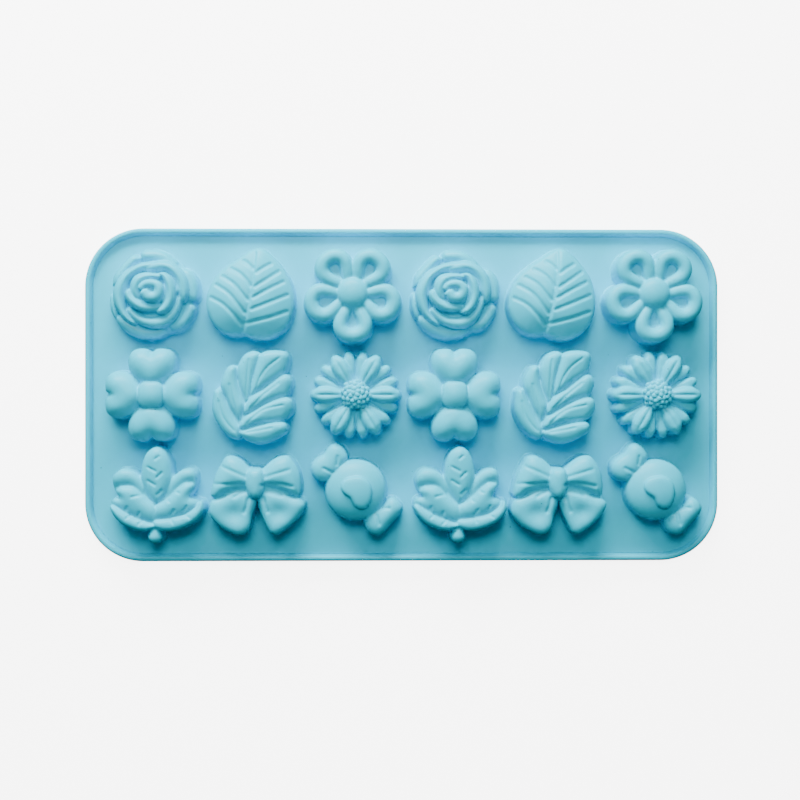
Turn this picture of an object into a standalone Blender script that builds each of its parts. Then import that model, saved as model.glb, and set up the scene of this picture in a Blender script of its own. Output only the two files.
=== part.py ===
# Silicone soap mould, lying mouth down with the backs of its eighteen cups up.
# Metres, +Z up, +X along the length. The mouths lie on z = 0 and the origin is under the middle.

import math

import bmesh
import bpy
import numpy

MM = 0.001

# Sheet and rim
WEB_THICKNESS = 2.0 * MM
RIM_WIDTH = 4.2 * MM
RIM_HEIGHT = 5.0 * MM
RIM_ARC_STEPS = 6
CORNER_RADIUS = 27.5 * MM
CORNER_STEPS = 8
END_MARGIN = 5.2 * MM
SIDE_MARGIN = 5.1 * MM
JOINT_CLEARANCE = 0.3 * MM

# Cups
CUP_WALL = 1.8 * MM
DRAFT_RUN = 0.6 * MM
COLUMN_GAP = 1.5 * MM
ROW_GAP = 1.1 * MM
CHAIN_STEP = 1.5 * MM
CROWN_SHRINK = 0.92
INSET_STEPS = 240

# A seat is a cup's shift from the middle of its cell, and a lobe is an (x, y, radius) from there.
# The shoulder, peak and ceiling are heights, and the vault is the rise of the ceiling to its middle

# Rose: overlapping petals round a rolled bud
ROSE_SEAT = (1.3 * MM, 0.0)
ROSE_SPOKES = 32
ROSE_HEART_RADIUS = 15.5 * MM
ROSE_ROUND_PETALS = (
    (2.5 * MM, 11.5 * MM, 10.0 * MM),
    (-12.0 * MM, -3.5 * MM, 8.2 * MM),
    (11.5 * MM, -8.5 * MM, 8.8 * MM),
    (13.0 * MM, 4.5 * MM, 8.9 * MM),
)
ROSE_UPPER_PETAL = ((-8.0 * MM, 13.5 * MM, 5.2 * MM), (-13.5 * MM, 7.0 * MM, 5.4 * MM))
ROSE_LOWER_PETAL = ((-8.5 * MM, -10.5 * MM, 8.4 * MM), (0.5 * MM, -12.5 * MM, 8.6 * MM))
ROSE_SHOULDER = 12.5 * MM
ROSE_TURN = math.radians(45.0)
ROSE_LAYER_PETALS = 3
ROSE_PETAL_SPREAD = 0.25
ROSE_MIDDLE_SPOT = (-1.2 * MM, 0.5 * MM)
ROSE_MIDDLE_RADIUS = 17.4 * MM
ROSE_MIDDLE_EDGE = 15.9 * MM
ROSE_MIDDLE_LIP = 13.8 * MM
ROSE_MIDDLE_FOOT_HEIGHT = 12.6 * MM
ROSE_MIDDLE_HEIGHT = 16.0 * MM
ROSE_MIDDLE_SWING = 0.4 * MM
ROSE_INNER_SPOT = (-0.8 * MM, 1.0 * MM)
ROSE_INNER_RADIUS = 11.6 * MM
ROSE_INNER_EDGE = 10.3 * MM
ROSE_INNER_LIP = 8.2 * MM
ROSE_INNER_FOOT_HEIGHT = 14.0 * MM
ROSE_INNER_HEIGHT = 18.2 * MM
ROSE_INNER_SWING = -0.4 * MM
ROSE_BUD_SPOT = (0.2 * MM, 1.4 * MM)
ROSE_BUD_RADIUS = 6.0 * MM
ROSE_BUD_EDGE = 5.0 * MM
ROSE_BUD_CAP = 2.7 * MM
ROSE_BUD_FOOT_HEIGHT = 16.0 * MM
ROSE_BUD_EDGE_HEIGHT = 18.6 * MM
ROSE_BUD_HEIGHT = 19.8 * MM
ROSE_PEAK = 20.0 * MM
ROSE_CEILING = 10.5 * MM
ROSE_VAULT = 4.0 * MM

# Broad leaf
LEAF_SEAT = (0.0, 0.2 * MM)
LEAF_SPOKES = 32
LEAF_LEFT_RADIUS = 14.8 * MM
LEAF_RIGHT_RADIUS = 15.8 * MM
LEAF_TAPER_RADIUS = 9.6 * MM
LEAF_TIP_RADIUS = 3.4 * MM
LEAF_LEFT = (-6.2 * MM, -3.0 * MM, LEAF_LEFT_RADIUS)
LEAF_RIGHT = ((5.5 * MM, -6.0 * MM, LEAF_RIGHT_RADIUS), (4.5 * MM, 3.5 * MM, 0.9 * LEAF_RIGHT_RADIUS))
LEAF_POINT = (
    (0.3 * MM, 5.5 * MM, LEAF_LEFT_RADIUS),
    (2.2 * MM, 11.5 * MM, LEAF_TAPER_RADIUS),
    (3.0 * MM, 18.6 * MM, LEAF_TIP_RADIUS),
)
LEAF_SHOULDER = 15.5 * MM
LEAF_EDGE_SHARE = 0.86
LEAF_EDGE_HEIGHT = 17.4 * MM
LEAF_BLADE_SHARE = 0.45
LEAF_BLADE_HEIGHT = 19.4 * MM
LEAF_PEAK = 19.0 * MM
LEAF_CEILING = 13.5 * MM
LEAF_VAULT = 2.5 * MM

# Flower of looped petals
FLOWER_SEAT = (-0.8 * MM, 1.0 * MM)
FLOWER_SPOKES = 40
FLOWER_PETALS = 5
FLOWER_REACH = 14.1 * MM
FLOWER_PETAL_RADIUS = 8.9 * MM
FLOWER_TUBE_RADIUS = 3.3 * MM
FLOWER_DOME_RADIUS = 7.3 * MM
FLOWER_SHOULDER = 14.5 * MM
FLOWER_EDGE_SHARE = 0.85
FLOWER_EDGE_HEIGHT = 17.2 * MM
FLOWER_EDGE_SWING = 0.9 * MM
FLOWER_LOOP_HEIGHT = 16.0 * MM
FLOWER_LOOP_SWING = -1.6 * MM
FLOWER_CREASE_HEIGHT = 16.0 * MM
FLOWER_DOME_SHARE = 0.75
FLOWER_DOME_HEIGHT = 18.8 * MM
FLOWER_PEAK = 20.0 * MM
FLOWER_CEILING = 12.0 * MM
FLOWER_VAULT = 0.5 * MM

# Clover of four hearts round a cushion
CLOVER_SEAT = (0.5 * MM, 0.0)
CLOVER_SPOKES = 40
CLOVER_HEARTS = 4
CLOVER_LOBE_REACH = 15.3 * MM
CLOVER_LOBE_SPREAD = 4.6 * MM
CLOVER_LOBE_RADIUS = 6.0 * MM
CLOVER_STEM_RADIUS = 3.6 * MM
CLOVER_CUSHION_RADIUS = 6.0 * MM
CLOVER_SHOULDER = 14.0 * MM
CLOVER_EDGE_SHARE = 0.75
CLOVER_EDGE_HEIGHT = 17.6 * MM
CLOVER_EDGE_SWING = 0.8 * MM
CLOVER_CREASE_HEIGHT = 16.4 * MM
CLOVER_CUSHION_SHARE = 0.7
CLOVER_CUSHION_HEIGHT = 19.2 * MM
CLOVER_PEAK = 20.0 * MM
CLOVER_CEILING = 12.0 * MM
CLOVER_VAULT = 2.0 * MM

# Frond of seven leaflets from one root
FROND_SEAT = (0.2 * MM, -4.2 * MM)
FROND_SPOKES = 42
FROND_BELLY_RADIUS = 4.6 * MM
FROND_TIP_RADIUS = 2.3 * MM
FROND_ROOT_RADIUS = 3.0 * MM
FROND_HEART_RADIUS = 9.2 * MM
FROND_ROOT = (-5.0 * MM, -12.5 * MM)
FROND_LEAFLETS = (
    ((5.1 * MM, -13.8 * MM), (13.7 * MM, -10.7 * MM)),
    ((8.2 * MM, -4.5 * MM), (16.5 * MM, 0.4 * MM)),
    ((8.5 * MM, 3.5 * MM), (15.9 * MM, 11.2 * MM)),
    ((9.7 * MM, 15.4 * MM), (14.0 * MM, 21.5 * MM)),
    ((-1.4 * MM, 14.3 * MM), (0.5 * MM, 21.7 * MM)),
    ((-9.7 * MM, 7.8 * MM), (-9.4 * MM, 15.2 * MM)),
    ((-13.7 * MM, -3.3 * MM), (-16.5 * MM, 4.5 * MM)),
)
FROND_SHOULDER = 15.0 * MM
FROND_EDGE_SHARE = 0.85
FROND_EDGE_HEIGHT = 17.2 * MM
FROND_MIDDLE_SHARE = 0.4
FROND_MIDDLE_HEIGHT = 18.4 * MM
FROND_PEAK = 17.4 * MM
FROND_CEILING = 13.0 * MM
FROND_VAULT = 1.2 * MM

# Daisy: broad petals over a ring of narrower ones
DAISY_SEAT = (0.8 * MM, 0.0)
DAISY_SPOKES = 54
DAISY_BROAD_PETALS = 6
DAISY_BROAD_REACH = 17.5 * MM
DAISY_BROAD_RADIUS = 3.9 * MM
DAISY_NARROW_REACH = 18.3 * MM
DAISY_NARROW_RADIUS = 2.7 * MM
DAISY_NARROW_ROOT_RADIUS = 2.0 * MM
DAISY_NARROW_TURN = math.radians(20.0)
DAISY_DOME_RADIUS = 7.0 * MM
DAISY_SHOULDER = 13.0 * MM
DAISY_EDGE_SHARE = 0.88
DAISY_WAIST_RADIUS = 13.0 * MM
DAISY_THROAT_RADIUS = 8.4 * MM
DAISY_PETAL_HEIGHT = 15.3 * MM
DAISY_BROAD_SWING = 1.8 * MM
DAISY_PETAL_SWING = 0.5 * MM
DAISY_CREASE_HEIGHT = 15.0 * MM
DAISY_DOME_SHARE = 0.7
DAISY_DOME_HEIGHT = 18.8 * MM
DAISY_PEAK = 20.0 * MM
DAISY_CEILING = 11.0 * MM
DAISY_VAULT = 1.5 * MM

# Maple leaf of five lobes, two feet and a stalk
MAPLE_SEAT = (2.4 * MM, -2.5 * MM)
MAPLE_SPOKES = 44
MAPLE_LOBE_RADIUS = 6.0 * MM
MAPLE_TIP_RADIUS = 2.3 * MM
MAPLE_FOOT_RADIUS = 3.9 * MM
MAPLE_STALK_RADIUS = 3.4 * MM
MAPLE_LOBES = (
    ((0.5 * MM, 15.1 * MM), (0.7 * MM, 22.7 * MM)),
    ((-13.5 * MM, 7.4 * MM), (-17.6 * MM, 11.2 * MM)),
    ((11.8 * MM, 7.4 * MM), (16.7 * MM, 11.9 * MM)),
    ((-13.5 * MM, -5.4 * MM), (-18.6 * MM, -1.6 * MM)),
    ((14.4 * MM, -5.4 * MM), (20.0 * MM, -2.2 * MM)),
)
MAPLE_FEET = ((-6.1 * MM, -10.5 * MM), (6.7 * MM, -10.5 * MM))
MAPLE_STALK = (-0.3 * MM, -16.5 * MM)
MAPLE_SHOULDER = 17.0 * MM
MAPLE_EDGE_SHARE = 0.88
MAPLE_EDGE_HEIGHT = 18.6 * MM
MAPLE_MIDDLE_SHARE = 0.35
MAPLE_MIDDLE_HEIGHT = 18.0 * MM
MAPLE_PEAK = 16.8 * MM
MAPLE_CEILING = 14.4 * MM
MAPLE_VAULT = 0.2 * MM

# Bow: each wing and tail is given for the right, and mirrored
BOW_SEAT = (2.4 * MM, 3.4 * MM)
BOW_SPOKES = 44
BOW_WING_RADIUS = 8.6 * MM
BOW_TAIL_RADIUS = 6.5 * MM
BOW_CORNER_RADIUS = 2.4 * MM
BOW_HEM_RADIUS = 3.0 * MM
BOW_KNOT_RADIUS = 5.2 * MM
BOW_KNOT_TOP = 4.0 * MM
BOW_KNOT_FOOT = -2.4 * MM
BOW_KNOT_TAPER = 0.9
BOW_WING = (11.5 * MM, 6.0 * MM)
BOW_WING_CORNER = (19.2 * MM, -2.4 * MM)
BOW_TAIL = (8.2 * MM, -9.6 * MM)
BOW_TAIL_CORNER = (19.9 * MM, -9.8 * MM)
BOW_HEM = (8.7 * MM, -19.6 * MM)
BOW_SHOULDER = 14.0 * MM
BOW_EDGE_SHARE = 0.86
BOW_EDGE_HEIGHT = 16.2 * MM
BOW_CREASE_HEIGHT = 16.4 * MM
BOW_CREASE_STRETCH = 1.2
BOW_KNOT_SHARE = 0.7
BOW_KNOT_HEIGHT = 19.0 * MM
BOW_KNOT_STRETCH = 1.4
BOW_PEAK = 20.0 * MM
BOW_CEILING = 12.0 * MM
BOW_VAULT = 2.0 * MM

# Wrapped sweet: a ball between two twisted ends
SWEET_SEAT = (0.8 * MM, 1.8 * MM)
SWEET_SPOKES = 40
SWEET_BALL_RADIUS = 14.3 * MM
SWEET_EAR_RADIUS = 4.5 * MM
SWEET_NECK_RADIUS = 7.0 * MM
SWEET_EARS = (
    (-8.8 * MM, 17.4 * MM),
    (-16.3 * MM, 8.6 * MM),
    (17.2 * MM, -8.0 * MM),
    (8.8 * MM, -16.8 * MM),
)
SWEET_SHOULDER = 12.5 * MM
SWEET_EDGE_SHARE = 0.92
SWEET_EDGE_HEIGHT = 14.0 * MM
SWEET_CHEEK_SHARE = 0.86
SWEET_CHEEK_HEIGHT = 17.0 * MM
SWEET_CAP_SHARE = 0.5
SWEET_CAP_HEIGHT = 19.4 * MM
SWEET_PEAK = 20.2 * MM
SWEET_CEILING = 10.7 * MM
SWEET_VAULT = 3.5 * MM

# Silicone colour and finish
SILICONE_COLOUR = (0.21, 0.68, 0.85, 1.0)
SILICONE_ROUGHNESS = 0.45
SHARP_ANGLE = math.radians(35.0)
WELD_DISTANCE = 0.01 * MM


def clear_scene():
    for item in list(bpy.data.objects):
        bpy.data.objects.remove(item, do_unlink=True)


def collection_for(name):
    group = bpy.data.collections.new(name)
    bpy.context.scene.collection.children.link(group)
    return group


def silicone(name):
    material = bpy.data.materials.new(name)
    material.use_nodes = True
    shader = material.node_tree.nodes["Principled BSDF"]
    shader.inputs["Base Color"].default_value = SILICONE_COLOUR
    shader.inputs["Roughness"].default_value = SILICONE_ROUGHNESS
    shader.inputs["Metallic"].default_value = 0.0
    return material


def add_part(name, mesh, group, place=(0.0, 0.0, 0.0)):
    part = bpy.data.objects.new(name, mesh)
    part.location = place
    mesh.materials.append(silicone(name + "_silicone"))
    mesh.shade_smooth()
    mesh.set_sharp_from_angle(angle=SHARP_ANGLE)
    group.objects.link(part)
    return part


# Outlines are unions of round lobes, drawn as chains of discs

def chain(*lobes):
    discs = []
    for (x0, y0, r0), (x1, y1, r1) in zip(lobes, lobes[1:]):
        steps = max(1, math.ceil(math.hypot(x1 - x0, y1 - y0) / CHAIN_STEP))
        for index in range(steps + 1):
            share = index / steps
            discs.append((x0 + share * (x1 - x0), y0 + share * (y1 - y0), r0 + share * (r1 - r0)))
    return discs


def round_at(spot, radius):
    return spot[0], spot[1], radius


def turned(discs, angle):
    across, along = math.cos(angle), math.sin(angle)
    return [(x * across - y * along, x * along + y * across, r) for x, y, r in discs]


def reach_of(discs, grow, angle):
    ray_x, ray_y = math.cos(angle), math.sin(angle)
    far = 0.0
    for x, y, radius in discs:
        ahead = x * ray_x + y * ray_y
        aside = y * ray_x - x * ray_y
        wide = radius + grow
        if wide > abs(aside):
            far = max(far, ahead + math.sqrt(wide * wide - aside * aside))
    return far


def spoke_angles(shape):
    return [shape["start"] + 2.0 * math.pi * index / shape["spokes"] for index in range(shape["spokes"])]


def outline(shape, grow):
    angles = spoke_angles(shape)
    reaches = [reach_of(shape["discs"], grow, angle) for angle in angles]
    return [(reach * math.cos(angle), reach * math.sin(angle)) for reach, angle in zip(reaches, angles)]


def inner_outline(shape, grow, wall):
    edge = numpy.array(outline(shape, grow))
    run = numpy.roll(edge, -1, axis=0) - edge
    shares = numpy.linspace(1.0, 0.0, INSET_STEPS)
    points = []
    for x, y in edge:
        tries = numpy.outer(shares, (x, y))[:, None, :]
        along = ((tries - edge) * run).sum(axis=2) / (run * run).sum(axis=1)
        nearest = edge + numpy.clip(along, 0.0, 1.0)[:, :, None] * run
        clear = numpy.linalg.norm(tries - nearest, axis=2).min(axis=1) >= wall
        points.append(tuple(tries[numpy.argmax(clear), 0]))
    return points


def extents(shape):
    points = outline(shape, DRAFT_RUN)
    across = [x + shape["seat"][0] for x, y in points]
    along = [y + shape["seat"][1] for x, y in points]
    return min(across), max(across), min(along), max(along)


# Sections of a cup's crown, from its shoulder to its peak. Each wave is a (count, swing): as many
# crests round the section, each lifting it by the swing

def scaled(share, height, *waves):
    return {"share": share, "height": height, "waves": waves}


def ring(radius, height, *waves, stretch=1.0):
    return {"radius": radius, "height": height, "waves": waves, "stretch": stretch}


def lobed(discs, height, *waves):
    return {"discs": discs, "height": height, "waves": waves}


def ellipse_reach(radius, stretch, angle):
    return radius * stretch / math.hypot(stretch * math.cos(angle), math.sin(angle))


def crown_sections(shape):
    angles = spoke_angles(shape)
    shoulder = [reach_of(shape["discs"], 0.0, angle) for angle in angles]
    below = shoulder
    sections = []
    for section in shape["crown"]:
        if "share" in section:
            reaches = [section["share"] * reach for reach in shoulder]
        elif "discs" in section:
            reaches = [reach_of(section["discs"], 0.0, angle) for angle in angles]
        else:
            reaches = [ellipse_reach(section["radius"], section["stretch"], angle) for angle in angles]
        reaches = [min(reach, CROWN_SHRINK * low) for reach, low in zip(reaches, below)]
        points = []
        for reach, angle in zip(reaches, angles):
            turn = angle - shape["start"]
            lift = sum(swing * math.cos(count * turn) for count, swing in section["waves"])
            points.append((reach * math.cos(angle), reach * math.sin(angle), section["height"] + lift))
        sections.append(points)
        below = reaches
    return sections


def cup_shape(seat, spokes, discs, shoulder, crown, peak, ceiling, vault, start=0.0):
    return {
        "seat": seat,
        "spokes": spokes,
        "discs": discs,
        "shoulder": shoulder,
        "crown": crown,
        "peak": peak,
        "ceiling": ceiling,
        "vault": vault,
        "start": start,
    }


def rose_layer(spot, radius, turn):
    petal = [(ROSE_PETAL_SPREAD * radius, 0.0, (1.0 - ROSE_PETAL_SPREAD) * radius)]
    petals = []
    for index in range(ROSE_LAYER_PETALS):
        petals += turned(petal, turn + 2.0 * math.pi * index / ROSE_LAYER_PETALS)
    return [(x + spot[0], y + spot[1], wide) for x, y, wide in petals]


def rose():
    petals = list(ROSE_ROUND_PETALS) + chain(*ROSE_UPPER_PETAL) + chain(*ROSE_LOWER_PETAL)
    petals.append((0.0, 0.0, ROSE_HEART_RADIUS))
    # Each inner petal stands over the gap between two middle ones
    inner_turn = ROSE_TURN + math.pi / ROSE_LAYER_PETALS
    middle_wave = (ROSE_LAYER_PETALS, ROSE_MIDDLE_SWING)
    inner_wave = (ROSE_LAYER_PETALS, ROSE_INNER_SWING)
    crown = [
        lobed(rose_layer(ROSE_MIDDLE_SPOT, ROSE_MIDDLE_RADIUS, ROSE_TURN), ROSE_MIDDLE_FOOT_HEIGHT),
        lobed(rose_layer(ROSE_MIDDLE_SPOT, ROSE_MIDDLE_EDGE, ROSE_TURN), ROSE_MIDDLE_HEIGHT, middle_wave),
        lobed(rose_layer(ROSE_MIDDLE_SPOT, ROSE_MIDDLE_LIP, ROSE_TURN), ROSE_MIDDLE_HEIGHT, middle_wave),
        lobed(rose_layer(ROSE_INNER_SPOT, ROSE_INNER_RADIUS, inner_turn), ROSE_INNER_FOOT_HEIGHT),
        lobed(rose_layer(ROSE_INNER_SPOT, ROSE_INNER_EDGE, inner_turn), ROSE_INNER_HEIGHT, inner_wave),
        lobed(rose_layer(ROSE_INNER_SPOT, ROSE_INNER_LIP, inner_turn), ROSE_INNER_HEIGHT, inner_wave),
        lobed([round_at(ROSE_BUD_SPOT, ROSE_BUD_RADIUS)], ROSE_BUD_FOOT_HEIGHT),
        lobed([round_at(ROSE_BUD_SPOT, ROSE_BUD_EDGE)], ROSE_BUD_EDGE_HEIGHT),
        lobed([round_at(ROSE_BUD_SPOT, ROSE_BUD_CAP)], ROSE_BUD_HEIGHT),
    ]
    return cup_shape(
        ROSE_SEAT, ROSE_SPOKES, petals, ROSE_SHOULDER, crown, ROSE_PEAK, ROSE_CEILING, ROSE_VAULT, ROSE_TURN
    )


def leaf():
    blade = [LEAF_LEFT] + chain(*LEAF_RIGHT) + chain(*LEAF_POINT)
    crown = [scaled(LEAF_EDGE_SHARE, LEAF_EDGE_HEIGHT), scaled(LEAF_BLADE_SHARE, LEAF_BLADE_HEIGHT)]
    return cup_shape(
        LEAF_SEAT, LEAF_SPOKES, blade, LEAF_SHOULDER, crown, LEAF_PEAK, LEAF_CEILING, LEAF_VAULT, math.pi / 2
    )


def flower():
    petals = [(0.0, 0.0, FLOWER_DOME_RADIUS + FLOWER_TUBE_RADIUS)]
    for index in range(FLOWER_PETALS):
        turn = 2.0 * math.pi * index / FLOWER_PETALS - math.pi / 2
        petals += turned([(FLOWER_REACH, 0.0, FLOWER_PETAL_RADIUS)], turn)
    loop_radius = FLOWER_REACH - FLOWER_TUBE_RADIUS / 2
    crown = [
        scaled(FLOWER_EDGE_SHARE, FLOWER_EDGE_HEIGHT, (FLOWER_PETALS, FLOWER_EDGE_SWING)),
        ring(loop_radius, FLOWER_LOOP_HEIGHT, (2 * FLOWER_PETALS, FLOWER_LOOP_SWING)),
        ring(FLOWER_DOME_RADIUS, FLOWER_CREASE_HEIGHT),
        ring(FLOWER_DOME_SHARE * FLOWER_DOME_RADIUS, FLOWER_DOME_HEIGHT),
    ]
    return cup_shape(
        FLOWER_SEAT, FLOWER_SPOKES, petals, FLOWER_SHOULDER, crown, FLOWER_PEAK, FLOWER_CEILING, FLOWER_VAULT,
        -math.pi / 2
    )


def clover():
    hearts = [(0.0, 0.0, CLOVER_CUSHION_RADIUS)]
    for index in range(CLOVER_HEARTS):
        turn = 2.0 * math.pi * index / CLOVER_HEARTS
        for side in (-1, 1):
            tip = (CLOVER_LOBE_REACH, side * CLOVER_LOBE_SPREAD, CLOVER_LOBE_RADIUS)
            hearts += turned(chain((CLOVER_CUSHION_RADIUS, 0.0, CLOVER_STEM_RADIUS), tip), turn)
    crown = [
        scaled(CLOVER_EDGE_SHARE, CLOVER_EDGE_HEIGHT, (CLOVER_HEARTS, CLOVER_EDGE_SWING)),
        ring(CLOVER_CUSHION_RADIUS, CLOVER_CREASE_HEIGHT),
        ring(CLOVER_CUSHION_SHARE * CLOVER_CUSHION_RADIUS, CLOVER_CUSHION_HEIGHT),
    ]
    return cup_shape(
        CLOVER_SEAT, CLOVER_SPOKES, hearts, CLOVER_SHOULDER, crown, CLOVER_PEAK, CLOVER_CEILING, CLOVER_VAULT
    )


def frond():
    root = round_at(FROND_ROOT, FROND_ROOT_RADIUS)
    leaflets = [(0.0, 0.0, FROND_HEART_RADIUS)]
    for belly, tip in FROND_LEAFLETS:
        leaflets += chain(root, round_at(belly, FROND_BELLY_RADIUS), round_at(tip, FROND_TIP_RADIUS))
    crown = [scaled(FROND_EDGE_SHARE, FROND_EDGE_HEIGHT), scaled(FROND_MIDDLE_SHARE, FROND_MIDDLE_HEIGHT)]
    return cup_shape(
        FROND_SEAT, FROND_SPOKES, leaflets, FROND_SHOULDER, crown, FROND_PEAK, FROND_CEILING, FROND_VAULT
    )


def daisy():
    root = (DAISY_DOME_RADIUS, 0.0, DAISY_NARROW_RADIUS)
    broad = chain(root, (DAISY_BROAD_REACH, 0.0, DAISY_BROAD_RADIUS))
    root = (DAISY_DOME_RADIUS, 0.0, DAISY_NARROW_ROOT_RADIUS)
    narrow = chain(root, (DAISY_NARROW_REACH, 0.0, DAISY_NARROW_RADIUS))
    petals = [(0.0, 0.0, DAISY_DOME_RADIUS)]
    for index in range(DAISY_BROAD_PETALS):
        turn = 2.0 * math.pi * index / DAISY_BROAD_PETALS
        petals += turned(broad, turn)
        petals += turned(narrow, turn + DAISY_NARROW_TURN) + turned(narrow, turn - DAISY_NARROW_TURN)
    # A broad petal and the two narrow ones beside it make three crests in each turn of a broad one
    waves = ((DAISY_BROAD_PETALS, DAISY_BROAD_SWING), (3 * DAISY_BROAD_PETALS, DAISY_PETAL_SWING))
    crown = [
        scaled(DAISY_EDGE_SHARE, DAISY_PETAL_HEIGHT, *waves),
        ring(DAISY_WAIST_RADIUS, DAISY_PETAL_HEIGHT, *waves),
        ring(DAISY_THROAT_RADIUS, DAISY_PETAL_HEIGHT, *waves),
        ring(DAISY_DOME_RADIUS, DAISY_CREASE_HEIGHT),
        ring(DAISY_DOME_SHARE * DAISY_DOME_RADIUS, DAISY_DOME_HEIGHT),
    ]
    return cup_shape(
        DAISY_SEAT, DAISY_SPOKES, petals, DAISY_SHOULDER, crown, DAISY_PEAK, DAISY_CEILING, DAISY_VAULT
    )


def maple():
    heart = (0.0, 0.0, MAPLE_LOBE_RADIUS)
    lobes = [heart]
    for belly, tip in MAPLE_LOBES:
        lobes += chain(heart, round_at(belly, MAPLE_LOBE_RADIUS), round_at(tip, MAPLE_TIP_RADIUS))
    for foot in MAPLE_FEET:
        lobes += chain(heart, round_at(foot, MAPLE_FOOT_RADIUS))
    lobes += chain(heart, round_at(MAPLE_STALK, MAPLE_STALK_RADIUS))
    crown = [scaled(MAPLE_EDGE_SHARE, MAPLE_EDGE_HEIGHT), scaled(MAPLE_MIDDLE_SHARE, MAPLE_MIDDLE_HEIGHT)]
    return cup_shape(
        MAPLE_SEAT, MAPLE_SPOKES, lobes, MAPLE_SHOULDER, crown, MAPLE_PEAK, MAPLE_CEILING, MAPLE_VAULT,
        math.pi / 2
    )


def mirrored(spot, radius, side):
    return side * spot[0], spot[1], radius


def bow():
    knot = (0.0, 0.0, BOW_KNOT_RADIUS)
    knot_top = (0.0, BOW_KNOT_TOP, BOW_KNOT_TAPER * BOW_KNOT_RADIUS)
    cloth = chain(knot_top, (0.0, BOW_KNOT_FOOT, BOW_KNOT_RADIUS))
    for side in (-1, 1):
        wing = mirrored(BOW_WING, BOW_WING_RADIUS, side)
        cloth += chain(knot, wing, mirrored(BOW_WING_CORNER, BOW_CORNER_RADIUS, side))
        tail = mirrored(BOW_TAIL, BOW_TAIL_RADIUS, side)
        cloth += chain(knot, tail, mirrored(BOW_TAIL_CORNER, BOW_CORNER_RADIUS, side))
        cloth += chain(tail, mirrored(BOW_HEM, BOW_HEM_RADIUS, side))
    crown = [
        scaled(BOW_EDGE_SHARE, BOW_EDGE_HEIGHT),
        ring(BOW_KNOT_RADIUS, BOW_CREASE_HEIGHT, stretch=BOW_CREASE_STRETCH),
        ring(BOW_KNOT_SHARE * BOW_KNOT_RADIUS, BOW_KNOT_HEIGHT, stretch=BOW_KNOT_STRETCH),
    ]
    return cup_shape(
        BOW_SEAT, BOW_SPOKES, cloth, BOW_SHOULDER, crown, BOW_PEAK, BOW_CEILING, BOW_VAULT
    )


def sweet():
    shape = [(0.0, 0.0, SWEET_BALL_RADIUS)]
    for ear in SWEET_EARS:
        neck = (ear[0] / 2, ear[1] / 2, SWEET_NECK_RADIUS)
        shape += chain(neck, round_at(ear, SWEET_EAR_RADIUS))
    crown = [
        scaled(SWEET_EDGE_SHARE, SWEET_EDGE_HEIGHT),
        ring(SWEET_BALL_RADIUS, SWEET_EDGE_HEIGHT),
        ring(SWEET_CHEEK_SHARE * SWEET_BALL_RADIUS, SWEET_CHEEK_HEIGHT),
        ring(SWEET_CAP_SHARE * SWEET_BALL_RADIUS, SWEET_CAP_HEIGHT),
    ]
    return cup_shape(
        SWEET_SEAT, SWEET_SPOKES, shape, SWEET_SHOULDER, crown, SWEET_PEAK, SWEET_CEILING, SWEET_VAULT
    )


def cup_mesh(name, shape):
    sections = [
        [(x, y, shape["ceiling"]) for x, y in inner_outline(shape, 0.0, CUP_WALL)],
        [(x, y, 0.0) for x, y in inner_outline(shape, DRAFT_RUN, CUP_WALL)],
        [(x, y, 0.0) for x, y in outline(shape, DRAFT_RUN)],
        [(x, y, shape["shoulder"]) for x, y in outline(shape, 0.0)],
    ]
    sections += crown_sections(shape)
    attic = shape["ceiling"] + shape["vault"]
    return loft(name, sections, (0.0, 0.0, attic), (0.0, 0.0, shape["peak"]))


def loft(name, sections, first_pole=None, last_pole=None):
    build = bmesh.new()
    loops = [[build.verts.new(point) for point in section] for section in sections]
    count = len(sections[0])
    closed = first_pole is None
    pairs = list(zip(loops, loops[1:])) + ([(loops[-1], loops[0])] if closed else [])
    for lower, upper in pairs:
        for index in range(count):
            after = (index + 1) % count
            build.faces.new((lower[index], lower[after], upper[after], upper[index]))
    for pole, loop in ((first_pole, loops[0]), (last_pole, loops[-1])):
        if pole is None:
            continue
        tip = build.verts.new(pole)
        for index in range(count):
            build.faces.new((tip, loop[index], loop[(index + 1) % count]))
    bmesh.ops.triangulate(build, faces=[face for face in build.faces if len(face.verts) == 4])
    bmesh.ops.recalc_face_normals(build, faces=build.faces)
    mesh = bpy.data.meshes.new(name)
    build.to_mesh(mesh)
    build.free()
    return mesh


def rounded_rectangle(half_length, half_width, radius):
    points = []
    for corner, (side_x, side_y) in enumerate(((1, 1), (-1, 1), (-1, -1), (1, -1))):
        for step in range(CORNER_STEPS + 1):
            angle = math.pi / 2 * (corner + step / CORNER_STEPS)
            x = side_x * (half_length - radius) + radius * math.cos(angle)
            y = side_y * (half_width - radius) + radius * math.sin(angle)
            points.append((x, y))
    return points


def rim_mesh(half_length, half_width):
    crest = RIM_WIDTH / 2
    profile = [(RIM_WIDTH, 0.0), (0.0, 0.0)]
    for step in range(RIM_ARC_STEPS + 1):
        angle = math.pi * step / RIM_ARC_STEPS
        profile.append((crest - crest * math.cos(angle), RIM_HEIGHT - crest + crest * math.sin(angle)))
    sections = []
    for inward, height in profile:
        loop = rounded_rectangle(half_length - inward, half_width - inward, CORNER_RADIUS - inward)
        sections.append([(x, y, height) for x, y in loop])
    return loft("rim_bead", sections)


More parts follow.
